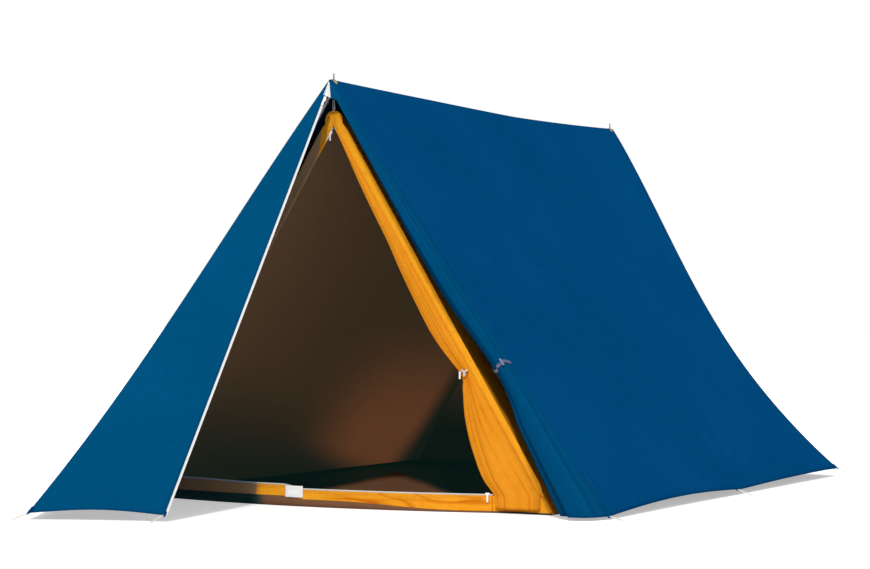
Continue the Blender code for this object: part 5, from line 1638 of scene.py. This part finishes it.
# %% Lay the blank tag
TAG_LEFT, TAG_WIDTH, TAG_FOOT, TAG_TOP = -0.116, 0.068, 0.029, 0.067
TAG_STANDOFF, TAG_FULLNESS, TAG_CREASE = 0.0030, 0.0008, 0.0003


def tag_place(u, v):
    """The blank tag, sewn on at its edges and slightly full in the middle."""
    x = TAG_LEFT + TAG_WIDTH * u
    z = mix(TAG_FOOT, TAG_TOP, v)
    return Vector((x, front_edge_y(x) - TAG_STANDOFF - TAG_FULLNESS * sin(pi * u), z))


tag = cloth("blank_tag", tag_place, 16, 10, 0.0006, [LABEL], FORWARD, slot="blank_label",
            hems="lrbt", crease=lambda u, v, point: TAG_CREASE * swell(point, 0.02))
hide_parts("sewn_label")

# %% [markdown]
# ## Peg loops
# Each peg point has a loop of elastic cord in a folded tab of cloth, and a peg would hold the
# loop's end down. The pegs are a set of their own, so this model has none. A torus would be
# too round for a loop under load. A curve with a round section follows any line, so the loop
# is one, shaped like a drop with its tip in the tab.

# %% Round cords and drops
LOOP_LENGTH, LOOP_WIDTH, LOOP_CORD, LOOP_STEPS = 0.050, 0.012, 0.0016, 36


def round_cord(name, points, radius, body, closed=True):
    """A cord of round section through the points."""
    curve = bpy.data.curves.new(name, "CURVE")
    curve.dimensions = "3D"
    curve.bevel_depth = radius
    curve.bevel_resolution = 3
    curve.use_fill_caps = True
    line = curve.splines.new("POLY")
    line.points.add(len(points) - 1)
    for point, place in zip(line.points, points):
        point.co = (*place, 1)
    line.use_cyclic_u = closed
    line.use_smooth = True
    return new_object(name, curve, [ELASTIC], body)


def drop_loop(start, end, sideways, half_width):
    """Points round a drop from its tip at the start to its round end."""
    points = []
    for step in range(LOOP_STEPS):
        angle = 2 * pi * step / LOOP_STEPS
        along = (1 - cos(angle)) / 2
        side = half_width * sin(angle) * max(along, 0.02) ** 0.35
        points.append(mix(start, end, along) + sideways * side)
    return points


print(f"A loop is {LOOP_LENGTH * 1000:.0f} mm long and made of {LOOP_STEPS} short steps")

# %% [markdown]
# ## A loop and a tab at each peg point
# The tab is a short tape, folded over the loop's tip and sewn up the inside of the flysheet.
# Copies of one finished loop would have to be turned by hand to nine directions. A function
# that takes the hem's place and the way out does it from the tent's own lines.

# %% Place the nine peg loops
TAB_LENGTH, TAB_WIDTH, ZIP_TAB_LENGTH = 0.026, 0.016, 0.013
TAB_TIP, TAB_GAP, TAB_DEPTH = 0.004, 0.0012, 0.0016
PEG_PLACES = (("front", 0.0, -0.3), ("middle", 0.5, 0.0), ("rear", 1.0, 0.6))


def peg_loop(word, hem, outward, up_cloth, body="root", tab_length=TAB_LENGTH):
    """The loop and the tab at one peg point."""
    outward = outward.normalized()
    sideways = Vector((-outward.y, outward.x, 0))
    foot = hem + outward * (LOOP_LENGTH + LOOP_CORD)
    foot.z = LOOP_CORD + 0.0003
    way = (foot - hem).normalized()
    start = hem + way * 0.0005
    loop = round_cord(f"loop_{word}", drop_loop(start, foot, sideways, LOOP_WIDTH / 2),
                      LOOP_CORD, body)
    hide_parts(f"peg_loop_{word}")
    up_cloth = up_cloth.normalized()
    normal = sideways.cross(up_cloth).normalized()
    normal = -normal if normal.dot(outward) < 0 else normal

    def tab_place(u, v):
        """The tab, folded over the loop's tip and sewn up the inside of the cloth."""
        share = abs(2 * v - 1)
        reach = mix(-TAB_TIP, tab_length, share)
        front = TAB_GAP if v > 0.5 else -TAB_GAP
        bend = front * min(share * 5, 1)
        return (hem + up_cloth * reach + normal * (bend - TAB_DEPTH)
                + sideways * (TAB_WIDTH * (u - 0.5)))

    cloth(f"tab_{word}", tab_place, 6, 24, 0.0007, [BLUE], normal, body=body, hems="lr")


for side, word in SIDES:
    for place, share, way_y in PEG_PLACES:
        hem = roof_point(side, 1, share)
        peg_loop(f"{place}_{word}", hem, Vector((side, way_y, 0)),
                 roof_point(side, 0.9, share) - hem)
peg_loop("rear_centre", rear_centre(1), BACK, rear_centre(0.9) - rear_centre(1))
peg_loop("fold", FOLD_PEG, Vector((FOLD_PEG.x, FOLD_PEG.y, 0)), fold_line(0.9) - FOLD_PEG)
peg_loop("zip", ZIP_PEG, Vector((ZIP_PEG.x, ZIP_PEG.y, 0)), zip_line(0.9) - ZIP_PEG,
         body="porch_leaf", tab_length=ZIP_TAB_LENGTH)   # short, as the pull comes down to it

# %% [markdown]
# ## Cords that hold the inner tent up
# At each end a doubled cord from the inner tent's ridge passes through a steel ring on the
# pole. Both ends are sewn in, so it is a closed loop. Two straight cylinders would end bluntly
# at the ring, so the cord is a curve too: two half circles joined by straight lines.

# %% Hang up the inner tent
HANGER_CORD, HANGER_HALF_GAP, BEND_STEPS = 0.0015, 0.0030, 8
FRONT_FOOT, FRONT_RING = Vector((0, 0, 1.301)), Vector((0, 0, 1.3306))
REAR_FOOT, REAR_RING = Vector((0, 1.8997, 1.3035)), Vector((0, 2.1403, 1.3640))


def doubled_cord(start, end, sideways, half_gap):
    """Points round a long narrow loop between two places."""
    along = (end - start).normalized()
    points = []
    for centre, way in ((end, 1), (start, -1)):
        for step in range(BEND_STEPS + 1):
            angle = pi * step / BEND_STEPS
            points.append(centre + sideways * (way * half_gap * cos(angle))
                          + along * (way * half_gap * sin(angle)))
    return points


front_hanger = round_cord("front_hanger_loop", doubled_cord(
    FRONT_FOOT, FRONT_RING, SIDEWAYS, HANGER_HALF_GAP), HANGER_CORD, "root")
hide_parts("front_hanger_cord")

rear_square = (REAR_RING - REAR_FOOT).normalized().cross(SIDEWAYS)
rear_hanger = round_cord("rear_hanger_loop", doubled_cord(
    REAR_FOOT, REAR_RING, rear_square, HANGER_HALF_GAP), HANGER_CORD, "root")
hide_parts("rear_hanger_cord")
print(f"The rear cord is {(REAR_RING - REAR_FOOT).length * 1000:.0f} mm from foot to ring")

# %% [markdown]
# ## Tie of the gathered door
# A white cord comes from behind the strip, goes round the gathered door and dives into its
# folds at the front, and a toggle hangs in its bend. A ring round the door would miss its
# flat section. So the cord goes through listed stations just off the cloth, and smooth
# curves join them.

# %% Tie the gathered door
TIE_CORD, TIE_EDGE = 0.0015, door_edge_x(DOOR_TIE)
TIE_FRONT, TIE_BACK, TIE_LEFT = -0.0102, 0.0023, TIE_EDGE - 0.0405
tie_stations = ((TIE_LEFT + 0.0190, -0.0040, 0.004), (TIE_LEFT + 0.0170, -0.0085, 0.006),
                (TIE_LEFT + 0.0130, TIE_FRONT - 0.0006, 0.010),
                (TIE_LEFT + 0.0080, TIE_FRONT - 0.0012, 0.011),
                (TIE_LEFT + 0.0030, TIE_FRONT, 0.006), (TIE_LEFT - 0.0010, TIE_FRONT + 0.0012, 0),
                (TIE_LEFT - 0.0024, -0.0040, -0.001),
                (TIE_LEFT - 0.0010, TIE_BACK - 0.0010, 0), (TIE_LEFT + 0.004, TIE_BACK, 0),
                (TIE_EDGE - 0.0100, TIE_BACK, 0), (TIE_EDGE + 0.0055, TIE_BACK - 0.0003, 0))


def rounded_route(stations, steps):
    """A smooth line through stations, from splines of their three coordinates."""
    reads = [curve_through([(i, place[axis]) for i, place in enumerate(stations)])
             for axis in range(3)]
    last = len(stations) - 1
    return [Vector([read(last * step / steps) for read in reads]) for step in range(steps + 1)]


tie_route = [Vector((x, y, DOOR_TIE + z)) for x, y, z in rounded_route(tie_stations, 60)]
tie = round_cord("door_tie_loop", tie_route, TIE_CORD, "root", closed=False)
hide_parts("door_tie_cord")
print(f"The tie is {sum((b - a).length for a, b in zip(tie_route, tie_route[1:])):.3f} m long")

# %% [markdown]
# ## Knot of the tie
# A knot in the cord keeps the toggle from slipping off, and leaves it room to turn. Modelling a
# knot by hand is slow, but an overhand knot has a known curve, the trefoil. Laid flat and
# small, in a cord of its own, it looks like one that is pulled tight.

# %% Make the knot
KNOT_SIZE, KNOT_CORD, KNOT_STEPS = 0.0066, 0.0026, 48
KNOT_FLATNESS, KNOT_LIFT = 0.4, 0.0034
KNOT_PLACE = Vector((0.4985, TIE_FRONT - 0.0006, DOOR_TIE + 0.011))


def knot_point(angle, centre, size):
    """A point of an overhand knot pulled tight."""
    return centre + Vector((size * (sin(angle) + 0.8 * sin(2 * angle)),
                            size * KNOT_FLATNESS * -sin(3 * angle) - KNOT_LIFT,
                            size * (cos(angle) - 0.8 * cos(2 * angle))))


round_cord("door_tie_knot", [
    knot_point(2 * pi * step / KNOT_STEPS, KNOT_PLACE, KNOT_SIZE) for step in range(KNOT_STEPS)],
    KNOT_CORD, "root")
print(f"The knot is at {KNOT_PLACE.z:.3f} m")

# %% [markdown]
# ## Finishes of the plain parts
# Tubes, rings, eyelets, feet, sliders and toggles are hard parts with exact shapes, so they keep
# the meshes of the CAD model. Each could be given its material one by one. Their names already
# say what they are, so a material is looked up by the words in a name, and the last word that
# fits counts.

# %% Give the plain parts their materials
FINISHES = {"eyelet": BRASS, "foot": RUBBER, "leg": STEEL, "pole": STEEL, "ring": STEEL,
            "slider": PLASTIC, "pull": PLASTIC, "toggle": PLASTIC, "roll_toggle": MAUVE_PLASTIC}

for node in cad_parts.values():
    found = [material for word, material in FINISHES.items() if word in node.name]
    if found and not node.hide_render:
        node.data.materials.clear()
        node.data.materials.append(found[-1])
        print(node.name, "takes", found[-1].name)

# %% [markdown]
# ## White ground
# The tent stands on a white ground that runs into a white background, with a soft shadow. A
# plain white material looks light grey at this level of light. More light would fade the
# cloth. So the ground has a little glow that is seen but lights nothing, which the Light Path
# node makes possible.

# %% Lay the ground
FLOOR_SIZE, FLOOR_ALBEDO, FLOOR_LIFT = 60, 0.86, 0.42
FLOOR_AHEAD, FLOOR_GAP = 20, 0.0004     # the ground lies just under the lowest piece


def seen_directly(tree):
    """1 for rays that show a white surround: from the camera, a gloss or a glass."""
    path = tree.nodes.new("ShaderNodeLightPath")
    total = path.outputs["Is Camera Ray"]
    for name in ("Is Glossy Ray", "Is Transmission Ray"):
        step = tree.nodes.new("ShaderNodeMath")
        step.operation = "MAXIMUM"
        tree.links.new(total, step.inputs[0])
        tree.links.new(path.outputs[name], step.inputs[1])
        total = step.outputs[0]
    return total


floor_bm = bmesh.new()
bmesh.ops.create_grid(floor_bm, x_segments=1, y_segments=1, size=FLOOR_SIZE)
bmesh.ops.translate(floor_bm, verts=floor_bm.verts, vec=(0, FLOOR_AHEAD, -FLOOR_GAP))
floor_mesh = bpy.data.meshes.new("floor")
floor_bm.to_mesh(floor_mesh)
floor_bm.free()
floor = bpy.data.objects.new("floor", floor_mesh)
scene.collection.objects.link(floor)
floor_look = Look("floor", 0.95)
floor_look.shader.inputs["Base Color"].default_value = (FLOOR_ALBEDO,) * 3 + (1,)
floor_look.shader.inputs["Emission Color"].default_value = (1, 1, 1, 1)
lift = floor_look.times(seen_directly(floor_look.tree), FLOOR_LIFT)
floor_look.tree.links.new(lift, floor_look.shader.inputs["Emission Strength"])
floor_mesh.materials.append(floor_look.material)
print("The ground is", 2 * FLOOR_SIZE, "m wide")

# %% [markdown]
# ## Daylight
# Open daylight comes from the whole sky. A picture of a sky would colour the white background,
# so the world is one even white. The camera sees it at full level, and the tent is lit by less
# of it, so that the cloth keeps its depth of colour.

# %% Make the sky
WORLD_LEVEL = 0.62

world = bpy.data.worlds.new("studio")
world.use_nodes = True
scene.world = world
ambient = world.node_tree.nodes["Background"]
ambient.inputs["Color"].default_value = (1, 1, 1, 1)
level = world.node_tree.nodes.new("ShaderNodeMapRange")
world.node_tree.links.new(seen_directly(world.node_tree), level.inputs["Value"])
level.inputs["To Min"].default_value = WORLD_LEVEL
level.inputs["To Max"].default_value = 1.0
world.node_tree.links.new(level.outputs[0], ambient.inputs["Strength"])
print("The sky lights the tent at", WORLD_LEVEL)

# %% [markdown]
# ## Sun
# In open daylight a tent has a lit side and a shaded side, and its shadows have soft edges.
# Large area lamps would fade with distance and light the near corner more. One sun from the
# front right lights all of the tent alike, and its angle of a few degrees softens the shadows.

# %% Add the sun
SUN_LEVEL, SUN_SOFTNESS = 2.2, 4.0
SUN_FROM = (0.25, -0.67, 0.69)

sun = bpy.data.lights.new("sun", "SUN")
sun.energy = SUN_LEVEL
sun.angle = radians(SUN_SOFTNESS)
sun_object = bpy.data.objects.new("sun", sun)
sun_object.rotation_euler = Vector(SUN_FROM).to_track_quat("Z", "Y").to_euler()
scene.collection.objects.link(sun_object)
print("The sun stands", round(90 - degrees(Vector(SUN_FROM).angle(UP))), "degrees high")
